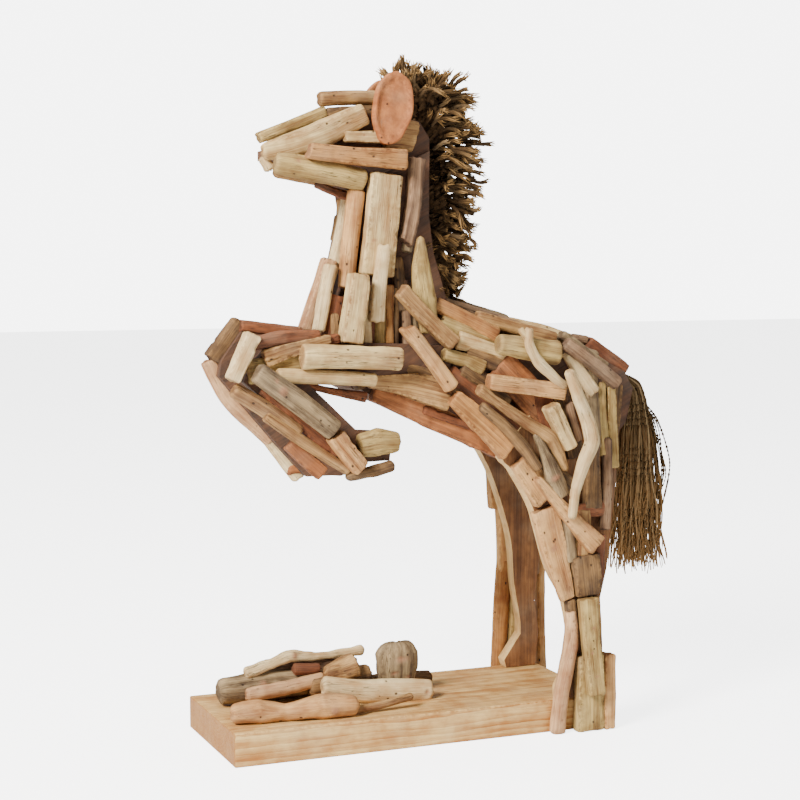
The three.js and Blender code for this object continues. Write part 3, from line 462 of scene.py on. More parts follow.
def ripple(points: np.ndarray, pitch: float, seed: int, waves: int = 7, along: float = 1.0) -> np.ndarray:
    """Adds up a few waves of random direction, a smooth unevenness from -1 to 1.

    Args:
        points: n by 3 places in millimetres.
        pitch: the rough distance between bumps.
        seed: picks the waves.
        waves: how many are added.
        along: how much longer the bumps are along X.

    Returns:
        One value for each point.
    """
    random = np.random.default_rng(seed)
    ways = random.normal(size=(waves, 3))
    ways /= np.linalg.norm(ways, axis=1)[:, None]
    ways[:, 0] /= along
    ways *= (2 * math.pi / pitch) * random.uniform(0.6, 1.5, waves)[:, None]
    return np.sin(points @ ways.T + random.uniform(0, 7, waves)).sum(axis=1) / math.sqrt(waves) / 1.5


def set_attribute(mesh: bpy.types.Mesh, name: str, values: np.ndarray) -> None:
    """Stores a vector for each vertex under a name."""
    attribute = mesh.attributes.new(name, "FLOAT_VECTOR", "POINT")
    attribute.data.foreach_set("vector", np.ascontiguousarray(values, dtype=np.float32).ravel())


def deselect_all() -> None:
    """Leaves edit mode if need be, and deselects every object."""
    if bpy.context.object and bpy.context.object.mode != "OBJECT":
        bpy.ops.object.mode_set(mode="OBJECT")
    bpy.ops.object.select_all(action="DESELECT")


def finish_piece(piece: bpy.types.Object, nodes: tuple = (), angle: float = 38.0) -> None:
    """Shades a piece, puts it on the body and hides the CAD nodes that it stands for.

    Args:
        piece: the finished object.
        nodes: the CAD nodes that it replaces.
        angle: edges sharper than this many degrees stay crisp.
    """
    deselect_all()
    piece.select_set(True)
    bpy.context.view_layer.objects.active = piece
    bpy.ops.object.shade_smooth_by_angle(angle=math.radians(angle))
    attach(piece, BODY)
    if nodes:
        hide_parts(*nodes)


class Blanks:
    """Sawn blanks that every stick is cut from: a cube divided into a grid, in three lengths."""

    AROUND = (6, 8)
    LENGTHS = (22, 44, 74)

    def __init__(self) -> None:
        """Starts with no blank made."""
        self.made: dict[int, bpy.types.Mesh] = {}

    @staticmethod
    def _divide(mesh: bpy.types.Mesh, axis: int, cuts: int) -> None:
        """Cuts every edge that runs along one axis."""
        deck = bmesh.from_edit_mesh(mesh)
        for edge in deck.edges:
            way = edge.verts[1].co - edge.verts[0].co
            edge.select_set(abs(way[axis]) > 0.9 * way.length)
        bmesh.update_edit_mesh(mesh)
        bpy.ops.mesh.subdivide(number_cuts=cuts)
        bpy.ops.mesh.select_all(action="DESELECT")

    def steps(self, length: float) -> int:
        """Returns how many grid steps a stick of a length in millimetres has along it."""
        return self.LENGTHS[0] if length < 34 else self.LENGTHS[1] if length < 75 else self.LENGTHS[2]

    def get(self, length: float) -> bpy.types.Mesh:
        """Returns a copy of the blank that suits a stick's length.

        Args:
            length: the stick's length in millimetres.

        Returns:
            A mesh of its own, a unit cube with a fine grid.
        """
        steps = self.steps(length)
        if steps not in self.made:
            deselect_all()
            bpy.ops.mesh.primitive_cube_add(size=1.0)
            blank = bpy.context.object
            bpy.ops.object.mode_set(mode="EDIT")
            bpy.ops.mesh.select_mode(type="EDGE")
            bpy.ops.mesh.select_all(action="DESELECT")
            for axis, count in enumerate((steps, *self.AROUND)):
                self._divide(blank.data, axis, count - 1)
            bpy.ops.object.mode_set(mode="OBJECT")
            self.made[steps] = blank.data
            bpy.data.objects.remove(blank)
        return self.made[steps].copy()

    def clear(self) -> None:
        """Deletes the blanks when every stick has its copy."""
        for mesh in self.made.values():
            bpy.data.meshes.remove(mesh)
        self.made.clear()


@dataclass(frozen=True)
class Mark:
    """A knot or a hole on a stick's good face.

    Along runs from 0 to 1 down the stick, across from -1 to 1. Depth is positive for a knot that stands
    proud and negative for a hole.
    """

    along: float
    across: float
    radius: float
    depth: float


@dataclass
class Stick:
    """One piece of driftwood, laid along a run of points (x, y, h).

    Wide is its size up and down in the side view and deep its size through it, at each point or all over.
    """

    name: str
    run: list
    wide: object
    deep: object
    wood: Wood
    cut: Cut = WORN
    node: str = ""
    aligned: bool = False
    marks: tuple = ()
    lumps: float = 0.35
    grooves: float = 0.22
    worn: float = 1.6
    slants: tuple = (0.0, 0.0)
    side: Side = Side.LEFT
    seed: int = 0

    def _line(self, share: np.ndarray) -> tuple:
        """Finds the middle line and the half sizes at each share of the run.

        Args:
            share: values from 0 to 1.

        Returns:
            Places n by 3, half widths and half depths.
        """
        points = np.array(self.run, dtype=float)
        steps = np.linalg.norm(np.diff(points, axis=0), axis=1)
        knots = np.concatenate(([0.0], np.cumsum(steps))) / steps.sum()
        wide = np.broadcast_to(np.asarray(self.wide, dtype=float), (len(points),))
        deep = np.broadcast_to(np.asarray(self.deep, dtype=float), (len(points),))
        if len(points) == 2:
            place = np.stack([np.interp(share, knots, points[:, k]) for k in range(3)], axis=1)
        else:
            place = smooth_through(knots, points, share)
        return place, np.interp(share, knots, wide) / 2, np.interp(share, knots, deep) / 2

    def length(self) -> float:
        """Returns the run's length in millimetres."""
        return float(np.linalg.norm(np.diff(np.array(self.run, dtype=float), axis=0), axis=1).sum())

    def _along(self, share: np.ndarray, steps: int, length: float) -> tuple:
        """Crowds the grid's rings at the ends so that they round off.

        Args:
            share: each vertex's place along the blank, 0 to 1.
            steps: the number of grid steps.
            length: the stick's length.

        Returns:
            The new shares, and how far each vertex's section is drawn in, in millimetres.
        """
        ring = np.rint(share * steps).astype(int)
        rounded = 3
        worn = min(self.worn, length / 5)
        from_end = np.minimum(ring, steps - ring)
        turn = np.clip(from_end / rounded, 0, 1) * math.pi / 2
        inset = worn * (1 - np.sin(turn))
        near = worn * (1 - np.cos(turn))
        body = worn + (from_end - rounded) * (length / 2 - worn) / (steps / 2 - rounded)
        distance = np.where(from_end <= rounded, near, body) / length
        return np.where(ring <= steps / 2, distance, 1 - distance), inset

    def build(self, blanks: Blanks, finishes: Finishes) -> bpy.types.Object:
        """Cuts the stick from a blank, shapes it, and lays it in its place.

        Args:
            blanks: where its blank comes from.
            finishes: where its material comes from.

        Returns:
            The finished object.
        """
        length = self.length()
        mesh = blanks.get(length)
        mesh.name = self.name
        flat = np.empty(len(mesh.vertices) * 3, dtype=np.float32)
        mesh.vertices.foreach_get("co", flat)
        unit = flat.reshape(-1, 3).astype(float)
        steps = max(blanks.steps(length), Blanks.LENGTHS[1])
        share, inset = self._along(unit[:, 0] + 0.5, steps, length)
        through, across = unit[:, 1] * 2, unit[:, 2] * 2
        shell = np.maximum(np.abs(through), np.abs(across))
        power = self._corner_power(through, across, share)
        total = (np.abs(through) ** power + np.abs(across) ** power) ** (1 / power)
        reach = np.where(total > 1e-6, shell / np.maximum(total, 1e-6), 0)
        through, across = through * reach, across * reach
        place, half_wide, half_deep = self._line(share)
        half_wide = half_wide * (1 + self._taper() * (share - 0.5))
        flat_place = np.stack([share * length, through * half_deep, across * half_wide], axis=1)
        swell = self._unevenness(flat_place, shell, share, across, through)
        size = [np.maximum(half - inset, half * 0.3) for half in (half_deep, half_wide)]
        radial = np.sqrt(through**2 + across**2) + 1e-6
        y = through * size[0] + swell * through / radial
        z = across * size[1] + swell * across / radial
        start, end = self.slants
        slide = (start * np.clip(1 - share * 3, 0, 1) + end * np.clip(share * 3 - 2, 0, 1)) * across * half_wide
        slide = slide + 0.7 * ripple(flat_place * [0, 1, 1], 7, self.seed + 5) * (inset > 0.2 * self.worn)
        tangent = self._tangent(share)
        sideways = np.array([0.0, 1.0, 0.0])
        over = np.cross(sideways, tangent)
        over /= np.linalg.norm(over, axis=1)[:, None]
        under = np.cross(tangent, over)
        z = z + self._bow() * np.sin(share * math.pi)
        placed = place - over * z[:, None] + under * y[:, None] + tangent * slide[:, None]
        placed = placed + self._shift()
        placed[:, 2] = np.maximum(placed[:, 2], TABLE) + PLANK_THICKNESS
        mesh.vertices.foreach_set("co", (placed * MM).astype(np.float32).ravel())
        self._paint(mesh, flat_place, shell, share, across, through, inset)
        mesh.materials.append(finishes.wood(self.wood))
        mesh.update()
        piece = bpy.data.objects.new(self.name, mesh)
        bpy.context.scene.collection.objects.link(piece)
        finish_piece(piece, (self.node,) if self.node else ())
        return piece

    def _taper(self) -> float:
        """Returns how much wider one end is than the other, as a share of the width."""
        return float(np.random.default_rng(self.seed + 21).uniform(-0.12, 0.12))

    def _bow(self) -> float:
        """Returns how far the middle bends out of line, in millimetres."""
        return float(np.random.default_rng(self.seed + 22).uniform(-1, 1)) * min(0.016 * self.length(), 1.1)

    def _corner_power(self, through: np.ndarray, across: np.ndarray, share: np.ndarray) -> np.ndarray:
        """Gives each of the four corners its own roundness, which changes along the stick.

        Args:
            through: each vertex's place through the section, -1 to 1.
            across: each vertex's place across it.
            share: each vertex's place along the stick.

        Returns:
            The superellipse's exponent at each vertex.
        """
        if self.cut is ROUND:
            return np.full(len(share), self.cut.value)
        random = np.random.default_rng(self.seed + 23)
        quarter = (through > 0).astype(int) * 2 + (across > 0)
        base = random.uniform(0.5, 1.25, 4)[quarter]
        change = 1 + 0.35 * np.sin(share * random.uniform(2, 7, 4)[quarter] + random.uniform(0, 6, 4)[quarter])
        return np.maximum(self.cut.value * base * change, 2.4)

    def _tangent(self, share: np.ndarray) -> np.ndarray:
        """Returns the run's unit direction at each share."""
        ahead, _, _ = self._line(np.clip(share + 0.02, 0, 1))
        behind, _, _ = self._line(np.clip(share - 0.02, 0, 1))
        way = ahead - behind
        return way / np.linalg.norm(way, axis=1)[:, None]

    def _shift(self) -> np.ndarray:
        """Returns the move that sets the stick's depth, or height, where its solid has come to rest."""
        if not self.aligned:
            return np.zeros(3)
        low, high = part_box(self.node)
        middle = np.array([(a + b) / 2 for a, b in zip(low, high)]) / MM
        points = np.array(self.run, dtype=float)
        mine = (points.min(axis=0) + points.max(axis=0)) / 2
        if self.side is Side.LEFT and "heap" not in self.node and "head_top" not in self.node:
            return np.array([0.0, middle[1] - mine[1], 0.0])
        return np.array([0.0, 0.0, middle[2] - PLANK_THICKNESS - mine[2]])

    def _unevenness(self, place, shell, share, across, through) -> np.ndarray:
        """Works out how far each side vertex stands proud of the plain section, in millimetres."""
        middle = self.length() / 2
        long_bumps = ripple(place, 26, self.seed + 1, along=2.2) * self.lumps
        short_bumps = ripple(place, 9, self.seed + 2, along=1.6) * self.lumps * 0.4
        ridges = ripple(place, 3.4, self.seed + 3, waves=9, along=14) * self.grooves
        swell = long_bumps + short_bumps - np.abs(ridges) * 1.1 - self._chips(share, through, across)
        for mark in self.marks:
            on_face = np.sign(through) == self.side.value
            far = np.hypot((share - mark.along) * middle * 2, (across - mark.across) * self._face_half())
            swell = swell + mark.depth * np.exp(-((far / mark.radius) ** 2)) * on_face
        return swell * (shell > 0.99)

    def _chips(self, share: np.ndarray, through: np.ndarray, across: np.ndarray) -> np.ndarray:
        """Returns how deep the chips are that have broken off the corners, in millimetres."""
        random = np.random.default_rng(self.seed + 31)
        corner = np.clip((np.minimum(np.abs(through), np.abs(across)) - 0.45) * 3, 0, 1)
        depth = np.zeros(len(share))
        for _ in range(int(random.integers(1, 4))):
            where, length = random.uniform(0.05, 0.95), random.uniform(1.5, 5.0)
            quarter = (np.sign(through) == random.choice([-1, 1])) & (np.sign(across) == random.choice([-1, 1]))
            far = (share - where) * self.length() / length
            depth = depth + random.uniform(0.4, 1.3) * np.exp(-(far**4)) * corner * quarter
        return depth * (0.4 if self.cut is ROUND else 1.0)

    def _face_half(self) -> float:
        """Returns half of the stick's mean width."""
        return float(np.mean(self.wide)) / 2

    def _paint(self, mesh, place, shell, share, across, through, inset) -> None:
        """Stores the grain's place and the marks that the materials read."""
        random = np.random.default_rng(self.seed + 9)
        offset = np.array([random.uniform(0, 900), random.uniform(-6, 6), random.uniform(-6, 6)])
        if self.cut is not ROUND:
            offset[1:] += random.choice([-1, 1], 2) * random.uniform(10, 26, 2)
        set_attribute(mesh, "grain", place + offset)
        end = np.clip(inset / max(self.worn, 0.1), 0, 1) * (1 if self.worn < 3 else 0.5)
        end = np.where(shell < 0.99, 1.0, end * 0.8)
        # The corner mark feeds the corner colour: pale rubbed wood with a painted highlight in patches, and dirt with
        # painted shade in others; the ends take some of it too.
        corner = np.clip((np.minimum(np.abs(through), np.abs(across)) - 0.66) * 3.4, 0, 1)
        corner = corner * (0.0 if self.cut is ROUND else 1.0) + end * 0.3
        knot = np.zeros(len(share))
        for mark in self.marks:
            on_face = np.sign(through) == self.side.value
            far = np.hypot((share - mark.along) * self.length(), (across - mark.across) * self._face_half())
            knot = np.maximum(knot, np.exp(-((far / (mark.radius * 1.15)) ** 4)) * on_face)
        set_attribute(mesh, "marks", np.stack([end, corner, knot], axis=1))


def smooth_through(knots: np.ndarray, points: np.ndarray, share: np.ndarray) -> np.ndarray:
    """Runs a smooth curve through points, flat of overshoot.

    Args:
        knots: the points' shares along the run.
        points: the points, m by 3.
        share: where the curve is wanted.

    Returns:
        Places n by 3.
    """
    slopes = np.gradient(points, knots, axis=0)
    i = np.clip(np.searchsorted(knots, share, side="right") - 1, 0, len(knots) - 2)
    span = (knots[i + 1] - knots[i])[:, None]
    t = ((share - knots[i])[:, None]) / span
    tension = 0.75
    a, b = points[i], points[i + 1]
    ma, mb = slopes[i] * span * tension, slopes[i + 1] * span * tension
    return (2 * t**3 - 3 * t**2 + 1) * a + (t**3 - 2 * t**2 + t) * ma + (3 * t**2 - 2 * t**3) * b + (t**3 - t**2) * mb


def single(name: str, *sizes: object, **settings: object) -> Stick:
    """Describes a stick that stands for the CAD node of its own name and lies at that node's depth."""
    return Stick(name, *sizes, node=name, aligned=True, **settings)


def glued(node: str, sticks: tuple) -> list:
    """Says that sticks glued up as one piece stand together for one CAD node."""
    return [replace(stick, node=node) for stick in sticks]


def mirrored(node: str, sticks: tuple) -> list:
    """Lays sticks that stand for one CAD node on the other side of the horse."""
    return [
        replace(stick, node=node, run=[(x, -y, h) for x, y, h in stick.run], side=Side.RIGHT)
        for stick in sticks
    ]


@dataclass
class Assembly:
    """A part of the horse that is laid up from sticks."""

    name: str
    sticks: tuple

    def build(self, blanks: Blanks, finishes: Finishes) -> None:
        """Builds every stick, each with a seed of its own."""
        for number, stick in enumerate(self.sticks):
            stick.seed = 17 * number + 1000 * (sum(map(ord, self.name)) % 97)
            stick.build(blanks, finishes)
        LOG.info("%s: %d sticks", self.name, len(self.sticks))


@dataclass
class Head(Assembly):
    """The head's left side and top."""

    name: str = "head"
    sticks: tuple = (
        *glued("head_top_sticks", (
            Stick("nose_bridge_stick", [(-114, -12, 427), (-62, -12, 448.5)], 8.5, 10, OLIVE, SAWN,
                grooves=0.4),
            Stick("forehead_stick", [(-68, -14, 456.5), (-22, -14, 459)], 11.5, 12, TAN, ROUND, worn=2.2),
            Stick("brow_stick", [(-62, -15, 446), (-18, -16, 449)], 10, 10, BROWN),
        )),
        single("muzzle_plank", [(-114, -22, 416.5), (-97, -24, 420), (-67.5, -26, 430.5), (-35, -26, 446.5)],
            (10, 17, 21, 17), 9, CREAM, worn=2.8, lumps=0.5),
        single("jaw_log", [(-107, -28, 408.5), (-72, -31, 403), (-38.5, -31, 397)], (17.5, 18.5, 16), 15,
            OLIVE, ROUND, worn=3.0, lumps=0.7, marks=(Mark(0.23, 0.45, 1.3, -1.0),)),
        Stick("left_lip_piece", [(-112, -14, 414), (-106, -16, 404)], 8, 10, PALE, worn=2.4),
        Stick("left_under_ear_stick", [(-53, -28, 429), (-17, -29, 429)], 9, 9, CREAM, SAWN, grooves=0.5,
            marks=(Mark(0.4, 0.3, 0.9, -0.8),)),
        single("back_of_head_block", [(-21, -30, 431.5), (4.5, -30, 430)], 25, 11, TAN, worn=2.0,
            slants=(0.0, 0.2)),
        single("cheek_block", [(-85, -38, 417.5), (-9, -38, 412)], (11.5, 15.5), 12, ORANGE, SAWN,
            slants=(0.2, 0.0), grooves=0.4),
        Stick("left_underjaw_stick", [(-70, -12, 394.5), (-44, -13, 386)], (5, 8), 10, RED),
        Stick("left_jaw_inner_stick", [(-92, -12, 410), (-40, -14, 403)], 12, 12, BROWN),
    )


@dataclass
class Neck(Assembly):
    """The neck and chest, on the left side and down the front."""

    name: str = "neck"
    sticks: tuple = (
        *glued("neck_front_sticks", (
            Stick("left_throat_pale_stick", [(-42, -10, 390), (-54, -11, 334)], 10, 12, PALE),
            Stick("left_breast_pink_stick", [(-60, -14, 339), (-79, -14, 287)], 11, 14, PINK),
        )),
        *glued("left_neck_infill_sticks", (
            Stick("left_chest_pink_stick", [(-65, -32, 335), (-77.5, -38, 286.5)], 9.5, 10, PALE,
                grooves=0.35),
            Stick("left_chest_inner_stick", [(-60, -31, 312), (-68, -36, 277)], 15, 11, RED),
            Stick("left_chest_wedge", [(-65.5, -36, 299), (-65, -40, 278.5)], (5, 9), 12, BROWN, SAWN),
            Stick("left_chest_grey_stick", [(-48, -33, 312), (-52, -37, 276)], 14, 11, MAUVE),
            Stick("left_chest_pale_stick", [(-37, -33, 320), (-41, -39, 276.5)], 8, 11, PALE),
            Stick("left_chest_shadow_stick", [(-33, -31, 312), (-35, -35, 277)], 7, 10, RED),
            Stick("left_chest_yellow_stick", [(-27.5, -33, 312), (-30, -39, 276)], 8.5, 11, OLIVE),
            Stick("left_chest_amber_stick", [(-21, -34, 320), (-23, -40, 276)], 6.5, 10, ORANGE, SAWN),
            Stick("left_chest_thin_stick", [(-16, -33, 318), (-18, -38, 272)], 6, 11, BROWN),
            Stick("left_neck_dark_stick", [(-13, -31, 340), (-12, -36, 300)], 9, 9, BROWN),
            Stick("left_shoulder_grey_stick", [(-9, -32, 324), (-8, -38, 266)], 8, 11, MAUVE),
            Stick("left_shoulder_pale_stick", [(-2, -31, 312), (0, -38, 264)], 9, 11, GREY),
        )),
        single("throat_dowel", [(-43.5, -33, 390), (-50, -34, 340), (-52.5, -35, 318)], (13, 13.5, 13.5), 13,
            PEACH, ROUND, worn=2.0, lumps=0.3),
        single("neck_rear_stick", [(2.5, -30, 414), (-1, -31, 384), (-7.5, -33, 351)], (13, 12.5, 11), 11,
            MAUVE, grooves=0.7, slants=(0.0, 0.4)),
        single("neck_wide_plank", [(-23, -38, 402), (-31, -38, 327)], (26, 25), 12, CREAM, SAWN,
            marks=(Mark(0.66, -0.45, 1.1, -0.7),), grooves=0.3),
        single("neck_leaf_stick", [(0, -40, 356), (1, -40, 335), (3.5, -42, 309), (5.5, -43, 284.5)],
            (5, 14, 18, 13), (6, 9, 10, 9), OLIVE, worn=2.6, grooves=0.15),
        single("neck_white_stick", [(-28.5, -50, 350), (-34.5, -50, 293)], (8.5, 13), 9, PALE, worn=2.0,
            marks=(Mark(0.8, 0.2, 0.8, -0.7),)),
        Stick("neck_short_grey_stick", [(-1.5, -29, 360), (-5, -31, 344)], 8.5, 8, GREY),
        single("chest_square_post", [(-51, -48, 328.5), (-58, -48, 278.5)], (14, 18), 14, CREAM, SAWN,
            grooves=0.4),
        Stick("left_chest_post_strip", [(-43.5, -42, 326), (-48, -44, 284)], 4, 10, MAUVE),
        Stick("throat_middle_stick", [(-37.5, 1, 388), (-37, 1, 370), (-40, 1, 353), (-43.5, 1, 337)], 12,
            10.5, TAN),
        Stick("throat_right_stick", [(-37.5, 12, 385), (-37, 12, 368), (-40, 12, 353), (-44.5, 13, 334)], 12,
            10, PEACH),
        Stick("throat_edge_stick", [(-36.5, 21, 372), (-40, 21, 352)], 11, 8, BROWN, SAWN),
        Stick("breast_middle_stick", [(-45, 0, 333), (-50, 0, 316), (-56.5, 0, 298), (-57, 0, 284)], 12, 12,
            CREAM),
        Stick("breast_right_stick", [(-46, 12, 330), (-51, 12, 314), (-56.8, 12, 298), (-57, 12, 280)], 12,
            11, OLIVE, SAWN),
        Stick("breast_edge_stick", [(-44.5, 22, 332), (-50, 23, 316), (-56.5, 23, 298)], 12, 9, PINK),
    )


@dataclass
class LeftForeleg(Assembly):
    """The left foreleg."""

    name: str = "left_foreleg"
    sticks: tuple = (
        *glued("left_foreleg_infill_sticks", (
            Stick("left_arm_red_stick", [(-131, -50, 279), (-108, -50, 284), (-82, -50, 284)], (9, 11, 10),
                13, RED, grooves=0.5),
            Stick("left_arm_grooved_wedge", [(-124, -53, 268.5), (-74, -53, 282)], (13, 7), 9, TAN, SAWN,
                grooves=0.8),
            Stick("left_arm_upper_wedge", [(-104, -50, 273), (-66, -50, 282)], (10, 7), 9, RED, SAWN,
                grooves=0.6),
            Stick("left_elbow_back_plank", [(-136, -49, 259), (-96, -49, 264)], 18, 9, OLIVE, SAWN),
            Stick("left_lower_arm_stick", [(-116, -58, 256.5), (-40, -58, 251.5)], (11, 11), 10, CREAM, ROUND,
                worn=1.6),
            Stick("left_shin_front_log", [(-147, -52, 247), (-122, -52, 231), (-98, -53, 213.5)],
                (11, 13, 12), 11, TAN, ROUND, worn=2.4, lumps=0.6),
            Stick("left_shin_inner_plank", [(-122, -51, 250), (-66, -52, 199)], 16, 7, RED, SAWN),
            Stick("left_shin_thin_stick", [(-124, -55, 228), (-94, -55, 208), (-60, -55, 185)], (8, 9, 7), 8,
                TAN, ROUND, worn=2.0),
            Stick("left_fetlock_back_stick", [(-104, -48, 207), (-78, -48, 183)], 11, 8, TERRACOTTA, SAWN),
            Stick("hoof_sole_stick", [(-62, -54, 181), (-42, -55, 184), (-25, -55, 188)], (8, 9, 8), 10,
                BROWN, ROUND, worn=3.4, lumps=0.6),
        )),
        single("upper_arm_log", [(-98.5, -60, 270), (-22, -60, 266.5)], 18, 15, CREAM, ROUND, worn=1.8,
            lumps=0.4, grooves=0.35),
        single("shin_log", [(-133, -60, 260), (-102.5, -60, 238.5), (-74.5, -60, 216)], (15, 17, 16), 14,
            GREY, marks=(Mark(0.3, -0.1, 2.8, 1.0), Mark(0.2, 0.35, 1.4, -1.0)), grooves=0.5, worn=2.2),
        single("knee_block", [(-132.5, -55, 286.5), (-148.5, -55, 254)], (12, 11), 14, PALE, SAWN,
            grooves=0.6),
        single("fetlock_block", [(-74, -60, 213), (-53.5, -60, 187.5)], 13.5, 13, PEACH, SAWN, grooves=0.4,
            slants=(0.1, -0.1)),
        single("hoof_block", [(-52, -52, 203), (-36, -52, 205.5), (-20, -52, 204.5)], (15, 20, 17), 16, OLIVE,
            worn=3.0, lumps=0.9),
    )


@dataclass
class LeftBarrel(Assembly):
    """The barrel's left side and the belly."""

    name: str = "left_barrel"
    sticks: tuple = (
        *glued("left_barrel_infill_sticks", (
            Stick("left_withers_stick", [(13.5, -42, 306), (61.5, -50, 281.5)], 11.5, 11, ORANGE,
                grooves=0.35),
            Stick("left_loin_stick", [(45.5, -46, 296), (111, -49, 278.5)], 10, 10, TAN),
            Stick("left_rib_top_plank", [(16, -45, 292), (66, -50, 274)], 14, 9, OLIVE, grooves=0.4),
            Stick("left_rib_pale_plank", [(27, -53, 279), (69, -53, 266)], (14, 10), 9, CREAM, grooves=0.4),
            Stick("left_rib_wavy_piece", [(15, -54, 269.5), (34, -54, 265), (48, -54, 258)], (9, 10, 14), 10,
                OLIVE, lumps=1.2, grooves=0.5),
            Stick("left_rib_middle_plank", [(34, -53, 271), (70, -54, 255)], 13, 8, BROWN),
            Stick("left_terracotta_plank", [(60.5, -55, 261), (102.5, -56, 222)], 25.5, 9, TERRACOTTA, SAWN,
                grooves=0.5),
            Stick("left_rib_inner_plank", [(31, -53, 259), (71, -54, 234)], 14, 8, BROWN),
            Stick("left_flank_inner_plank", [(20, -52, 254), (84, -55, 209)], 15, 8, RED),
            Stick("left_elbow_inner_stick", [(-18, -43, 262), (30, -51, 240)], 14, 12, BROWN),
            Stick("left_low_flank_board", [(-40, -44, 249.5), (-10, -48, 246), (22, -52, 238)], (10, 18, 25),
                12, TAN, SAWN, grooves=0.2, lumps=0.8),
            Stick("left_belly_plank", [(-36, -40, 240), (7.5, -42, 223), (49, -43, 205), (69, -43, 190)],
                (10, 18, 20, 8), 10, TERRACOTTA, SAWN, grooves=0.4),
        )),
        Stick("left_belly_strip", [(2, -46, 227.5), (51, -47, 210)], 6, 7, RED, SAWN),
        Stick("left_chest_under_stick", [(-50, -30, 262), (-40, -32, 244)], 12, 14, BROWN),
        Stick("left_arm_shadow_wedge", [(-96, -46, 250), (-43, -46, 238)], (4, 8), 8, RED),
        single("loin_log", [(55, -58, 276), (107, -58, 268)], (15.5, 19), 15, OLIVE, ROUND, worn=2.4,
            lumps=0.6),
        single("flank_plank", [(18.5, -60, 238), (41, -60, 219.5), (66, -60, 197.5)], (13.5, 19, 23), 10,
            ORANGE, SAWN, grooves=0.4, lumps=0.9),
        Stick("left_flank_dark_branch",
            [(38.5, -70, 231), (56.5, -70, 217), (73, -71, 199.5), (86, -71, 181)], (8.5, 9, 10.5, 8), 9,
            BROWN, ROUND, worn=2.5, lumps=0.8),
        single("shoulder_stick", [(-21, -62, 317), (21.5, -62, 276.5)], 12, 11, TAN, SAWN, grooves=0.4),
        single("elbow_stick", [(-17.5, -64, 289.5), (18.5, -64, 244)], 11.5, 12, PEACH, slants=(0.4, 0.0)),
        single("flank_curved_branch", [(36.5, -68, 244), (49.5, -68, 235), (64.5, -68, 225), (81, -68, 214),
            (95, -68, 205), (103.5, -68, 192), (110, -68, 179)], (9.5, 8, 10.5, 9.5, 11, 9.5, 7), (9.5, 8.5,
            10.5, 10, 11, 9, 7), TAN, ROUND, worn=2.8, lumps=0.9),
        single("crossbar_stick", [(46.5, -66, 248.5), (110, -66, 239)], 12.5, 11, PEACH, SAWN, grooves=0.35),
    )


@dataclass
class LeftHaunch(Assembly):
    """The rump and the left thigh."""

    name: str = "left_haunch"
    sticks: tuple = (
        Stick("left_hip_twig",
            [(77, -72, 288), (77.5, -73, 275.5), (84.5, -73, 262.5), (97, -72, 252), (109, -70, 243)],
            (6, 8, 9.5, 8.5, 8), (6, 7, 7, 7, 7), PALE, ROUND, worn=2.2, lumps=0.8),
        Stick("left_hip_prong", [(70.5, -70, 288), (77, -72, 278)], 5.5, 6, CREAM, ROUND, worn=2.0),
        *glued("left_haunch_infill_sticks", (
            Stick("left_hip_white_stick", [(117.5, -56, 268), (139.5, -59, 236.5)], 10.5, 10, PALE),
            Stick("left_thigh_inner_plank", [(94, -57, 240), (106, -62, 188)], 15, 7, RED, SAWN),
            Stick("left_thigh_middle_plank", [(108, -57, 246), (123, -62, 188)], 15, 7, BROWN, SAWN),
            Stick("left_thigh_pink_plank", [(124, -56, 240), (131, -62, 196)], 9, 8, TERRACOTTA),
        )),
        Stick("left_thigh_mauve_stick", [(114, -66, 231), (122.5, -67, 201)], 7.5, 8, MAUVE, ROUND, worn=2.0),
        *glued("left_haunch_infill_sticks", (
            Stick("left_rump_side_plank", [(138, -54, 254), (139, -62, 194)], 12, 9, GREY),
            Stick("left_rump_rear_plank", [(147.5, -54, 244), (147.5, -62, 188)], 8.5, 9, OLIVE, grooves=0.5),
            Stick("left_rear_strip", [(156, -54, 240.5), (156, -61, 178)], 8, 9, OLIVE, SAWN, grooves=0.4),
            Stick("left_thigh_back_plank", [(137, -63, 198), (135.5, -65, 148)], (9, 16), 8, BROWN, SAWN,
                grooves=0.5),
            Stick("left_tail_side_stick", [(149.5, -63, 202), (147, -65, 131)], 8.5, 9, MAUVE, ROUND,
                worn=2.2),
            Stick("left_thigh_front_plank", [(74, -64, 188.5), (96, -64, 157)], 19.5, 9, PEACH, SAWN),
            Stick("left_thigh_olive_plank", [(90, -63, 186), (118, -64, 164)], 16, 8, BROWN),
            Stick("left_hamstring_stick", [(120, -64, 146), (147, -64, 148)], 12, 8, RED),
        )),
        Stick("croup_block", [(154, -14, 273), (190, -12, 250.5)], (13, 12), 22, RED, SAWN,
            node="croup_block", grooves=0.6),
        Stick("left_croup_small_block", [(141, -18, 277), (155, -18, 275)], 7, 9, MAUVE),
        single("rump_stick", [(111, -58, 276), (156.5, -58, 243.5)], 11, 11, MAUVE, grooves=0.5),
        Stick("left_rump_upper_stick", [(118, -44, 281), (156, -46, 255)], 9, 10, GREY),
        single("thigh_short_block", [(95.5, -72, 229.5), (112.5, -72, 196.5)], 11.5, 12, CREAM, SAWN,
            grooves=0.6),
    )


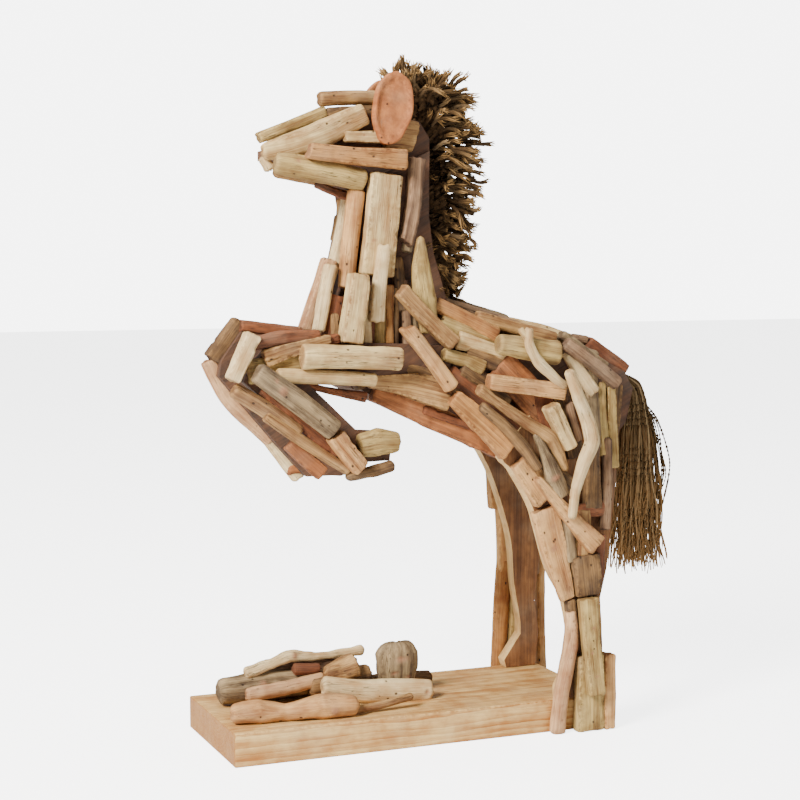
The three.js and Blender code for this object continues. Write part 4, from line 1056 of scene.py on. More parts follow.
@dataclass
class LeftHindLeg(Assembly):
    """The left hind leg below the thigh."""

    name: str = "left_hind_leg"
    sticks: tuple = (
        single("gaskin_plank", [(94.5, -66, 150), (102.5, -66, 119), (115, -66, 79)], (23, 20, 11), 9, PEACH,
            SAWN, marks=(Mark(0.42, -0.15, 2.6, 0.4), Mark(0.2, 0.3, 1.4, -0.5)), grooves=0.3),
        Stick("left_hock_strip", [(113, -66, 143), (118, -66, 108)], 9, 8, GREY),
        Stick("left_hock_dark_block", [(118, -64, 79), (119, -64, 68)], 8, 8, BROWN, SAWN),
        Stick("left_shank_plank", [(127, -65, 148), (127, -65, 112)], 13, 9, TAN, grooves=0.4),
        Stick("left_shank_rear_plank", [(143, -65, 128), (142, -65, 92)], 8, 9, RED),
        Stick("left_cannon_rear_plank", [(138, -65, 80), (140, -65, 30)], 9, 9, TAN),
        single("thigh_diagonal_plank", [(84, -72, 175), (136, -72, 120.5)], (5, 17), 9, PEACH, SAWN,
            grooves=0.5),
        single("stifle_forked_stick", [(83.5, -71, 209), (92, -72, 192), (99, -72, 175), (106.5, -72, 160)],
            (5, 9, 14, 11), (6, 9, 9, 8), GREY, marks=(Mark(0.68, -0.1, 2.2, 1.2),), lumps=0.9),
        single("thigh_bent_branch", [(106.5, -80, 256), (115.5, -80, 236.5), (125, -80, 215),
            (127.5, -80, 202.5), (120, -80, 184), (113.5, -80, 165), (110.5, -80, 143.5)], (7.5, 10, 12.5, 13,
            10.5, 8, 7), (7, 9, 10, 10, 9, 8, 6), PALE, ROUND, worn=2.4, lumps=0.5),
        single("hock_block", [(128, -70, 113), (132, -70, 81.5)], 24, 12, BROWN, SAWN, grooves=0.6),
        *glued("left_hoof_blocks", (
            Stick("left_hoof_plank", [(133.5, -66, 35), (134.5, -66, TABLE)], (23, 24), 11, OLIVE, SAWN,
                grooves=0.4),
            Stick("left_heel_block", [(150, -66, 34), (150.5, -66, TABLE)], 10, 12, PEACH, SAWN, grooves=0.4),
        )),
        single("cannon_round_stick", [(117.5, -70, 70), (118.5, -70, 47), (115.5, -70, 30), (111, -70, 6),
            (107, -70, TABLE)], (9, 12, 12.5, 12.5, 13), (9, 12, 12, 12, 12), PINK, ROUND, worn=2.4,
            lumps=0.7, marks=(Mark(0.29, 0.1, 2.8, 1.1), Mark(0.08, 0.1, 1.0, -1.0),
            Mark(0.15, -0.2, 1.0, -1.0), Mark(0.53, 0.2, 1.0, -0.9), Mark(0.77, -0.1, 1.1, -1.0),
            Mark(0.88, 0.1, 1.0, -1.0))),
        single("cannon_flat_plank", [(126.5, -73, 80.5), (135.5, -73, 5)], 14, 9, OLIVE, SAWN, grooves=0.4,
            marks=(Mark(0.3, 0.2, 1.1, -0.9), Mark(0.55, -0.3, 0.9, -0.9), Mark(0.8, 0.1, 1.1, -0.9))),
    )


@dataclass
class Back(Assembly):
    """The top of the back, the croup and the rear of the rump."""

    name: str = "back"
    sticks: tuple = (
        *glued("back_sticks", (
            Stick("back_middle_stick", [(26, 0, 311), (60, 0, 300), (92, 0, 291)], 10, 15, GREY),
            Stick("back_left_stick", [(24, -12, 307), (96, -14, 285)], 11, 13, MAUVE),
            Stick("back_right_stick", [(24, 12, 307), (96, 13, 285)], 10, 14, BROWN),
            Stick("loin_middle_stick", [(84, -3, 290), (128, -3, 281), (148, -3, 275)], 10, 14, CREAM, ROUND,
                worn=2.4),
            Stick("loin_right_stick", [(88, 10, 289), (147, 10, 275)], 10, 14, TAN),
            Stick("loin_left_stick", [(90, -16, 286), (146, -17, 269)], 10, 14, OLIVE),
        )),
        Stick("back_left_lower_stick", [(20, -26, 302), (100, -30, 282)], 11, 13, BROWN),
        Stick("loin_left_lower_stick", [(86, -31, 284), (154, -33, 262)], 11, 14, GREY),
        Stick("back_right_lower_stick", [(26, 27, 302), (104, 31, 282)], 12, 14, OLIVE),
        Stick("loin_right_lower_stick", [(90, 32, 284), (158, 34, 260)], 12, 14, TAN),
        Stick("croup_right_block", [(150, 12, 268), (188, 12, 250)], 12, 18, BROWN, SAWN),
        Stick("rump_rear_left_plank", [(176, -20, 240), (172, -22, 188)], 18, 11, BROWN, SAWN),
        Stick("rump_rear_right_plank", [(176, 20, 240), (172, 22, 188)], 18, 11, OLIVE, SAWN),
    )


@dataclass
class RightSide(Assembly):
    """The far side, laid up in keeping and plainer."""

    name: str = "right_side"
    sticks: tuple = (
        *mirrored("right_head_and_neck_sticks", (
            Stick("right_muzzle_plank", [(-98, -22, 420), (-64, -23, 435), (-33, -27, 446)], (10, 17, 14), 10,
                CREAM, SAWN),
            Stick("right_jaw_log", [(-90, -22, 408), (-26, -27, 397)], 16, 14, TAN, ROUND, worn=3),
            Stick("right_cheek_block", [(-72, -27, 420), (2, -29, 415)], 15, 12, PEACH, SAWN),
            Stick("right_back_of_head_block", [(-24, -27, 430), (8, -28, 430)], 24, 11, PALE),
            Stick("right_brow_stick", [(-50, -26, 432), (-18, -27, 432)], 14, 9, TAN),
            Stick("right_throat_dowel", [(-21, -32, 402), (-33, -33, 322)], 13, 11, PEACH, ROUND),
            Stick("right_neck_wide_plank", [(-9, -31, 412), (-20, -34, 318)], 17, 11, CREAM, SAWN),
            Stick("right_neck_rear_stick", [(6, -26, 412), (-2, -31, 330)], 17, 12, MAUVE),
            Stick("right_neck_leaf_stick", [(8, -30, 352), (12, -38, 288)], 15, 12, OLIVE),
            Stick("right_shoulder_back_stick", [(-4, -32, 342), (-1, -40, 284)], 16, 12, TAN),
            Stick("right_shoulder_middle_stick", [(-18, -34, 330), (-14, -41, 268)], 16, 12, PINK),
            Stick("right_chest_pale_stick", [(-30, -34, 330), (-32, -41, 272)], 17, 12, PALE),
            Stick("right_chest_front_stick", [(-37, -34, 326), (-50, -41, 280)], 14, 12, TAN),
        )),
        *mirrored("right_barrel_sticks", (
            Stick("right_shoulder_stick", [(-22, -44, 314), (30, -54, 272)], 16, 12, TAN, SAWN),
            Stick("right_elbow_stick", [(-22, -44, 298), (30, -56, 254)], 17, 14, PEACH),
            Stick("right_low_flank_board", [(-32, -42, 256), (30, -53, 242)], 17, 13, OLIVE, SAWN),
            Stick("right_belly_plank", [(-28, -41, 250), (20, -44, 231), (76, -45, 201)], 17, 13, TERRACOTTA,
                SAWN),
            Stick("right_flank_plank", [(10, -55, 250), (84, -57, 204)], 19, 12, ORANGE, SAWN),
            Stick("right_flank_middle_plank", [(18, -56, 266), (100, -57, 214)], 19, 11, CREAM),
            Stick("right_rib_plank", [(16, -57, 282), (110, -57, 230)], 19, 11, TERRACOTTA, SAWN),
            Stick("right_rib_upper_plank", [(20, -54, 296), (116, -55, 246)], 17, 11, OLIVE),
            Stick("right_loin_stick", [(42, -48, 296), (112, -53, 264)], 15, 12, TAN, ROUND, worn=2.4),
        )),
        *mirrored("right_hind_leg_sticks", (
            Stick("right_rump_stick", [(118, -54, 276), (164, -56, 244)], 15, 13, MAUVE),
            Stick("right_rump_lower_stick", [(116, -57, 264), (160, -60, 228)], 16, 12, CREAM),
            Stick("right_thigh_front_plank", [(106, -61, 232), (118, -66, 132)], 16, 10, PEACH, SAWN),
            Stick("right_thigh_middle_plank", [(122, -61, 248), (124, -66, 168)], 17, 10, TAN),
            Stick("right_thigh_rear_plank", [(137, -61, 248), (138, -66, 146)], 16, 10, OLIVE),
            Stick("right_rump_rear_plank", [(152, -60, 238), (152, -66, 144)], 16, 10, TAN, SAWN),
            Stick("right_shank_cross_block", [(112, -66, 150), (152, -66, 146)], 15, 10, BROWN, SAWN),
            Stick("right_shank_front_stick", [(122, -66, 146), (125, -66, 74)], 15, 10, PEACH),
            Stick("right_shank_middle_stick", [(137, -66, 146), (138, -66, 66)], 16, 10, OLIVE),
            Stick("right_shank_rear_stick", [(151, -66, 140), (151, -66, 74)], 13, 10, MAUVE),
            Stick("right_cannon_round_stick", [(125, -66, 88), (122, -66, 40), (118, -66, TABLE)],
                (15, 14, 13), 11, ORANGE, ROUND),
            Stick("right_cannon_plank", [(137, -66, 82), (136, -66, 30), (135, -66, TABLE)], (18, 17, 23), 11,
                OLIVE, SAWN),
            Stick("right_heel_stick", [(158, -66, 92), (159, -66, 28), (160, -66, TABLE)], (8, 8, 9.5), 11,
                PEACH),
        )),
        *mirrored("right_foreleg_sticks", (
            Stick("right_arm_red_stick", [(-112, -45, 288), (-70, -45, 283), (-30, -44, 279)], 10, 14, RED),
            Stick("right_arm_log", [(-108, -54, 274), (-20, -54, 270)], 18, 12, CREAM, ROUND),
            Stick("right_lower_arm_stick", [(-104, -54, 260), (-20, -54, 254)], 14, 10, TAN),
            Stick("right_knee_plank", [(-110, -50, 291), (-132, -50, 262)], 14, 14, BROWN, SAWN),
            Stick("right_shin_strip", [(-134, -53, 262), (-120, -53, 233), (-84, -53, 199)], 14, 12, PINK),
            Stick("right_shin_log", [(-122, -54, 254), (-58, -54, 190)], 17, 10, BROWN, ROUND),
            Stick("right_fetlock_stick", [(-92, -53, 208), (-61, -53, 168)], 12, 10, PALE),
            Stick("right_hoof_stick", [(-72, -52, 175), (-25, -52, 172)], 10, 12, TERRACOTTA, ROUND,
                worn=2.4),
            Stick("right_hoof_upper_stick", [(-66, -53, 184), (-28, -53, 182)], 13, 10, OLIVE),
        )),
    )


@dataclass
class Heap(Assembly):
    """The driftwood that lies on the plank."""

    name: str = "heap"
    sticks: tuple = (
        *glued("heap_front_log_and_twig", (
            Stick("heap_front_log",
                [(-145, -34, 8), (-124, -37, 8.8), (-105, -40, 7.5), (-78, -43, 9), (-50, -45, 8)],
                (14, 17, 13, 18, 15), (14, 17, 13, 18, 15), PEACH, ROUND, worn=4.0, lumps=1.2,
                marks=(Mark(0.8, -0.2, 2.6, 0.9), Mark(0.35, 0.2, 1.0, -0.9))),
            Stick("heap_twig", [(-52, -42, 3.6), (-26, -40, 5.5), (-3, -39, 9)], (6, 6, 7), (6, 6, 7), TAN,
                ROUND, worn=2.4),
        )),
        *glued("heap_back_logs", (
            Stick("heap_thin_log", [(-121, 5, 11), (-90, 6, 12), (-58, 7, 17)], (10, 11, 12), (10, 11, 11),
                PINK, ROUND, worn=2.6, lumps=0.8),
            Stick("heap_fat_log", [(-139, 19, 12), (-104, 20, 13.5), (-66, 20, 13)], (21, 24, 20),
                (20, 22, 18), GREY, ROUND, worn=4.5, lumps=1.1, marks=(Mark(0.45, 0.2, 3.0, 1.0),)),
            Stick("heap_rear_log", [(-120, 34, 6.7), (-44, 33, 6.7)], 13, 13, GREY, ROUND, worn=3.0),
        )),
        Stick("heap_upper_rear_log", [(-100, 30, 22), (-40, 25, 25)], (15, 17), (15, 16), MAUVE, ROUND,
            worn=3.5, lumps=0.9),
        Stick("heap_under_log", [(-70, 8, 12), (-20, 6, 18)], (18, 16), (16, 16), BROWN, ROUND, worn=3.5,
            lumps=0.8),
        Stick("heap_small_dark_log", [(-82, 10, 26), (-60, 9, 25)], 9, 9, RED, ROUND, worn=2.6),
        single("heap_long_log", [(-65, -8, 17), (-20, -13, 12), (22, -18, 9)], (16, 19, 16), (14, 17, 15),
            PALE, ROUND, worn=3.4, lumps=1.1, marks=(Mark(0.93, 0.0, 2.2, -1.6),)),
        single("heap_right_log", [(-22, 20, 6.5), (37, 20, 6.5)], 13, 13, BROWN, ROUND, worn=2.4,
            grooves=0.6),
        single("heap_slab", [(1, 3, 42.5), (1, 3, 34), (1, 3, 20), (1.5, 3, 0.5)], (24, 35, 34, 24),
            (10, 13, 14, 13), GREY, worn=5.0, lumps=1.6,
            marks=(Mark(0.3, 0.1, 2.2, -1.8), Mark(0.55, -0.3, 1.6, -1.4), Mark(0.65, 0.4, 1.5, -1.4))),
        single("heap_stub", [(-60, 1, 27), (-46, 1, 30), (-33, 1, 34)], (12, 18, 20), (12, 15, 17), TAN,
            worn=4.5, lumps=1.2),
        single("heap_wavy_branch", [(-119, 16, 29), (-99.5, 16, 34.5), (-83, 17, 39.5), (-62, 17, 38),
            (-40.5, 17, 38.5), (-21.5, 16, 40)], (9, 8.5, 10, 8, 7.5, 8.5), (9, 8.5, 10, 8, 7.5, 8.5), PALE,
            ROUND, worn=3.0, lumps=1.1, marks=(Mark(0.42, 0.2, 2.2, 0.8),)),
    )


@dataclass
class SawnBoard:
    """A board cut to a curved outline of (x, h) corners, standing between two depths."""

    name: str
    outline: list
    low_y: float
    high_y: float
    node: str
    round_from: int = 0
    round_to: int = 0
    bevel: float = 0.7

    def _corners(self) -> np.ndarray:
        """Returns the outline with the free edges between the named corners drawn smooth."""
        points = np.array(self.outline, dtype=float)
        count = len(points)
        drawn = []
        for i in range(count):
            drawn.append(points[i])
            if self.round_from <= i < self.round_to:
                before, here = points[i - 1], points[i]
                after, next_after = points[(i + 1) % count], points[(i + 2) % count]
                for t in (0.25, 0.5, 0.75):
                    drawn.append(0.5 * (
                        2 * here + (after - before) * t + (2 * before - 5 * here + 4 * after - next_after) * t**2
                        + (3 * here - before - 3 * after + next_after) * t**3
                    ))
        return np.array(drawn)

    def build(self, finishes: Finishes) -> bpy.types.Object:
        """Cuts the outline from a disc, raises it to a board and eases its edges.

        Args:
            finishes: where the materials come from.

        Returns:
            The finished object.
        """
        corners = self._corners()
        deselect_all()
        bpy.ops.mesh.primitive_circle_add(vertices=len(corners), radius=1.0, fill_type="NGON")
        piece = bpy.context.object
        piece.name = piece.data.name = self.name
        order = np.argsort([math.atan2(v.co.y, v.co.x) % (2 * math.pi) for v in piece.data.vertices])
        area = sum(a[0] * b[1] - b[0] * a[1] for a, b in zip(corners, np.roll(corners, -1, axis=0)))
        ring = corners if area > 0 else corners[::-1]
        for index, (x, h) in zip(order, ring):
            piece.data.vertices[int(index)].co = Vector((x, self.low_y, h + PLANK_THICKNESS)) * MM
        bpy.ops.object.mode_set(mode="EDIT")
        bpy.ops.mesh.select_all(action="SELECT")
        bpy.ops.mesh.extrude_region_move(
            TRANSFORM_OT_translate={"value": (0, (self.high_y - self.low_y) * MM, 0)},
        )
        bpy.ops.mesh.select_all(action="SELECT")
        bpy.ops.mesh.normals_make_consistent(inside=False)
        bpy.ops.object.mode_set(mode="OBJECT")
        self._ease(piece)
        self._paint(piece, finishes)
        finish_piece(piece, (self.node,), 30)
        return piece

    def _ease(self, piece: bpy.types.Object) -> None:
        """Breaks the board's sharp edges with a small bevel."""
        bevel = piece.modifiers.new("eased_edges", "BEVEL")
        bevel.width = self.bevel * MM
        bevel.segments = 2
        bevel.limit_method = "ANGLE"
        bevel.angle_limit = math.radians(50)
        bpy.context.view_layer.objects.active = piece
        bpy.ops.object.modifier_apply(modifier=bevel.name)

    def _paint(self, piece: bpy.types.Object, finishes: Finishes) -> None:
        """Gives the faces brown board and the sawn edges pale wood, with grain up the leg."""
        mesh = piece.data
        mesh.materials.append(finishes.wood(BOARD))
        mesh.materials.append(finishes.wood(SAWN_EDGE))
        flat = np.empty(len(mesh.vertices) * 3, dtype=np.float32)
        mesh.vertices.foreach_get("co", flat)
        place = flat.reshape(-1, 3) / MM
        set_attribute(mesh, "grain", np.stack([place[:, 2], place[:, 1] + 31, place[:, 0] + 17], axis=1))
        set_attribute(mesh, "marks", np.zeros((len(place), 3)))
        for face in mesh.polygons:
            face.material_index = 0 if abs(face.normal.y) > 0.8 else 1


LEFT_HIND_LEG = [
    (62, 195), (70, 180), (80, 164), (88, 149), (93, 133), (103, 101), (117, 74), (123, 30), (111, 9), (111, 0.3),
    (143, 0.3), (146, 27), (143, 55), (146, 75), (152, 100), (155, 125), (160, 175), (150, 225), (96, 235),
]
RIGHT_HIND_LEG = [
    (84, 203), (95, 180), (103, 165), (114, 135), (122, 105), (125, 70), (131, 28), (116, 7), (118, 0.3),
    (145, 0.3), (148, 30), (144, 55), (148, 90), (150, 110), (155, 135), (165, 175), (170, 225), (110, 235),
]


@dataclass
class Boards:
    """The sawn leg boards that the sticks are glued to, and the boards that keep their CAD shape."""

    thickness: float = 12.0
    kept: tuple = ("body_board", "left_foreleg_board", "right_foreleg_board")

    def build(self, finishes: Finishes) -> None:
        """Cuts the hind leg boards and dresses the others.

        Args:
            finishes: where the materials come from.
        """
        inner = LEG_OUTER - self.thickness
        left, right = "left_hind_leg_board", "right_hind_leg_board"
        SawnBoard(left + "_cut", LEFT_HIND_LEG, -LEG_OUTER, -inner, left, 0, 7).build(finishes)
        SawnBoard(right + "_cut", RIGHT_HIND_LEG, inner, LEG_OUTER, right, 0, 6).build(finishes)
        for node in self.kept:
            kept = bpy.data.objects[node]
            for slot in kept.material_slots:
                slot.material = finishes.plain_board(CORE)
        LOG.info("boards: %d", len(self.kept) + 2)


@dataclass
class Plinth:
    """The pine plank that everything stands on."""

    node: str = "plinth_board"
    edge: float = 1.2

    def build(self, finishes: Finishes) -> bpy.types.Object:
        """Planes the plank from a cube, breaks its edges and lets its faces wander a little.

        Args:
            finishes: where the material comes from.

        Returns:
            The finished object.
        """
        low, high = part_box(self.node)
        size = [b - a for a, b in zip(low, high)]
        deselect_all()
        bpy.ops.mesh.primitive_cube_add(size=1.0)
        piece = bpy.context.object
        piece.name = piece.data.name = "pine_plank"
        bpy.ops.object.mode_set(mode="EDIT")
        bpy.ops.mesh.select_all(action="SELECT")
        bpy.ops.transform.resize(value=size)
        bpy.ops.transform.translate(value=[(a + b) / 2 for a, b in zip(low, high)])
        bpy.ops.mesh.bevel(offset=self.edge * MM, segments=3, affect="EDGES")
        bpy.ops.object.mode_set(mode="OBJECT")
        cut = piece.modifiers.new("finer", "SUBSURF")
        cut.subdivision_type = "SIMPLE"
        cut.levels = cut.render_levels = 4
        bpy.ops.object.modifier_apply(modifier=cut.name)
        self._paint(piece, finishes)
        finish_piece(piece, (self.node,), 40)
        LOG.info("plinth: 1 plank")
        return piece

    def _paint(self, piece: bpy.types.Object, finishes: Finishes) -> None:
        """Wears the edges by hand, marking them for rubbed colour that also paints a highlight and shade on them, and
        stores the grain along the plank.
        """
        mesh = piece.data
        flat = np.empty(len(mesh.vertices) * 3, dtype=np.float32)
        mesh.vertices.foreach_get("co", flat)
        place = flat.reshape(-1, 3) / MM
        dent = ripple(place, 30, 3) * 0.12 + ripple(place, 5, 8) * 0.05
        top = place[:, 2] > PLANK_THICKNESS - 0.01
        bottom = place[:, 2] < 0.01
        moved = place.copy()
        moved[:, 1] += np.where(top | bottom, 0, dent * np.sign(place[:, 1]))
        moved[:, 0] = np.clip(moved[:, 0], -150, 150)
        moved[:, 1] = np.clip(moved[:, 1], -60.1, 60.1)
        mesh.vertices.foreach_set("co", (moved * MM).astype(np.float32).ravel())
        set_attribute(mesh, "grain", place + [240, 14, -38])
        end = (np.abs(place[:, 0]) > 149.5).astype(float)
        # The edge mark feeds the corner colour: pale rubbed pine with a painted highlight in patches, and dirt with
        # painted shade in others.
        edge = np.clip(1 - (60 - np.abs(place[:, 1])) / 1.5, 0, 1) * np.clip(1 - (25 - place[:, 2]) / 1.5, 0, 1)
        set_attribute(mesh, "marks", np.stack([end, edge, np.zeros(len(place))], axis=1))
        mesh.materials.append(finishes.wood(PINE))


@dataclass
class Ear:
    """An oval slice of branch, its rim rounded and its face a little dished."""

    name: str
    node: str
    side: Side
    long: float = 54.0
    across: float = 30.0
    lean: float = 0.16

    def build(self, finishes: Finishes) -> bpy.types.Object:
        """Turns the slice from a cylinder.

        Args:
            finishes: where the material comes from.

        Returns:
            The finished object.
        """
        low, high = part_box(self.node)
        middle = np.array([(a + b) / 2 for a, b in zip(low, high)]) / MM
        thick = (high[1] - low[1]) / MM
        deselect_all()
        bpy.ops.mesh.primitive_cylinder_add(vertices=56, radius=1.0, depth=1.0, end_fill_type="NGON")
        piece = bpy.context.object
        piece.name = piece.data.name = self.name
        bpy.ops.object.mode_set(mode="EDIT")
        bpy.ops.mesh.select_mode(type="FACE")
        for _ in range(9):
            self._select_caps(piece.data)
            bpy.ops.mesh.inset(thickness=0.1, depth=0.0)
        bpy.ops.mesh.select_all(action="DESELECT")
        bpy.ops.object.mode_set(mode="OBJECT")
        bevel = piece.modifiers.new("worn_rim", "BEVEL")
        bevel.width = 0.07
        bevel.segments = 4
        bevel.limit_method = "ANGLE"
        bpy.ops.object.modifier_apply(modifier=bevel.name)
        self._shape(piece, middle, thick, finishes)
        finish_piece(piece, (self.node,), 50)
        return piece

    @staticmethod
    def _select_caps(mesh: bpy.types.Mesh) -> None:
        """Selects the two flat end faces that are left in the middle."""
        deck = bmesh.from_edit_mesh(mesh)
        caps = [face for face in deck.faces if abs(face.normal.z) > 0.9 and len(face.verts) > 8]
        for face in deck.faces:
            face.select_set(False)
        for face in caps:
            face.select_set(True)
        bmesh.update_edit_mesh(mesh)

    def _shape(self, piece: bpy.types.Object, middle: np.ndarray, thick: float, finishes: Finishes) -> None:
        """Draws the disc out to an oval, dishes it, and stands it beside the head."""
        mesh = piece.data
        flat = np.empty(len(mesh.vertices) * 3, dtype=np.float32)
        mesh.vertices.foreach_get("co", flat)
        unit = flat.reshape(-1, 3).astype(float)
        radius = np.hypot(unit[:, 0], unit[:, 1])
        turn = np.arctan2(unit[:, 1], unit[:, 0])
        uneven = 1 + 0.025 * np.sin(3 * turn + 0.6) + 0.015 * np.sin(7 * turn + 2)
        a = unit[:, 0] * uneven * self.across / 2
        b = unit[:, 1] * uneven * self.long / 2
        face = np.array([a * 0, a, b]).T
        dish = np.clip((0.88 - radius) / 0.16, 0, 1)
        rough = ripple(face, 8, 4) * 0.25 - 1.5 * dish**2 * (3 - 2 * dish) - 0.5 * np.clip(1 - radius, 0, 1)
        outward = unit[:, 2] * 2
        depth = outward * (thick / 2 + rough * (np.abs(outward) > 0.9) - 0.25)
        cos, sin = math.cos(-self.lean), math.sin(-self.lean)
        x, z = a * cos - b * sin, a * sin + b * cos
        placed = np.stack([x, depth, z], axis=1) + middle
        mesh.vertices.foreach_set("co", (placed * MM).astype(np.float32).ravel())
        set_attribute(mesh, "grain", np.stack([b * 0.3 + 400, a, b], axis=1) + [0, 3, 5])
        # The rim takes the corner mark, so it is painted pale rubbed wood with a highlight in patches and dirt with
        # painted shade in others.
        rim = np.clip(1 - np.abs(radius - 0.8) * 11, 0, 1)
        pits = np.exp(-(np.hypot(a + 9, b + 12) / 4.5) ** 2) * (ripple(face, 3.2, 5) > 0.1)
        set_attribute(mesh, "marks", np.stack([rim * 0.2, rim, pits], axis=1))
        mesh.materials.append(finishes.wood(EAR_WOOD))
        mesh.update()


class Twine:
    """Twisted jute twine: every strand is laid as a thin tube along its own line, and all of them are joined into one
    mesh.
    """

    RINGS = 7
    SIDES = 4

    def __init__(self, seed: int) -> None:
        """Starts an empty skein with its own run of random numbers."""
        self.random = np.random.default_rng(seed)
        self.places: list = []
        self.faces: list = []
        self.grain: list = []
        self.marks: list = []
        self.count = 0

    def strand(self, line: np.ndarray, radius: np.ndarray, tip: np.ndarray, tint: float, lobes: float = 0.0,
               pitch: float = 6.0) -> None:
        """Lays one strand along a line.

        Args:
            line: the middle line, n by 3, in millimetres.
            radius: the strand's radius at each point of the line.
            tip: how golden it is at each point, 0 to 1.
            tint: how much paler this strand is than its neighbours.
            lobes: how deep the twist is cut, as a share of the radius.
            pitch: the length of one turn of the twist.
        """
        n = len(line)
        way = np.gradient(line, axis=0)
        way /= np.linalg.norm(way, axis=1)[:, None]
        aside = np.cross(way, [0.13, 0.97, 0.2])
        aside /= np.linalg.norm(aside, axis=1)[:, None]
        up = np.cross(way, aside)
        run = np.concatenate(([0], np.cumsum(np.linalg.norm(np.diff(line, axis=0), axis=1))))
        turn = np.linspace(0, 2 * math.pi, self.SIDES, endpoint=False)
        phase = self.random.uniform(0, 2 * math.pi)
        angle = phase + turn[None, :] + (2 * math.pi * run / pitch)[:, None] * (1 if lobes else 0)
        size = radius[:, None] * (1 + lobes * np.cos(2 * turn)[None, :])
        ring = line[:, None, :] + aside[:, None, :] * (np.cos(angle) * size)[:, :, None]
        ring = ring + up[:, None, :] * (np.sin(angle) * size)[:, :, None]
        base = self.count
        self.places.append(ring.reshape(-1, 3))
        i, j = np.meshgrid(np.arange(n - 1), np.arange(self.SIDES), indexing="ij")
        k = (j + 1) % self.SIDES
        near, far = i * self.SIDES, (i + 1) * self.SIDES
        quads = np.stack([near + j, near + k, far + k, far + j], -1)
        self.faces.extend((quads.reshape(-1, 4) + base).tolist())
        self.faces.append([base + s for s in reversed(range(self.SIDES))])
        self.faces.append([base + (n - 1) * self.SIDES + s for s in range(self.SIDES)])
        offset = self.random.uniform(0, 500)
        down = np.repeat(run, self.SIDES) + offset
        self.grain.append(np.stack([down, np.tile(np.cos(turn), n), np.tile(np.sin(turn), n)], 1))
        tips = np.repeat(tip, self.SIDES)
        self.marks.append(np.stack([tips, np.full(len(tips), tint), np.zeros(len(tips))], 1))
        self.count += n * self.SIDES

    def build(self, name: str, material: bpy.types.Material, slot: str, node: str) -> bpy.types.Object:
        """Joins all strands into one piece that stands for a node.

        Args:
            name: the piece's name.
            material: its twine material.
            slot: not used.
            node: the CAD node that it replaces.

        Returns:
            The finished object.
        """
        mesh = bpy.data.meshes.new(name)
        places = np.concatenate(self.places)
        places[:, 2] += PLANK_THICKNESS
        mesh.from_pydata((places * MM).tolist(), [], self.faces)
        set_attribute(mesh, "grain", np.concatenate(self.grain))
        set_attribute(mesh, "marks", np.concatenate(self.marks))
        mesh.materials.append(material)
        mesh.update()
        deselect_all()
        piece = bpy.data.objects.new(name, mesh)
        bpy.context.scene.collection.objects.link(piece)
        piece.select_set(True)
        bpy.context.view_layer.objects.active = piece
        bpy.ops.object.mode_set(mode="EDIT")
        bpy.ops.mesh.select_all(action="SELECT")
        bpy.ops.mesh.normals_make_consistent(inside=False)
        bpy.ops.object.mode_set(mode="OBJECT")
        finish_piece(piece, (node,), 120)
        LOG.info("%s: %d faces", name, len(mesh.polygons))
        return piece


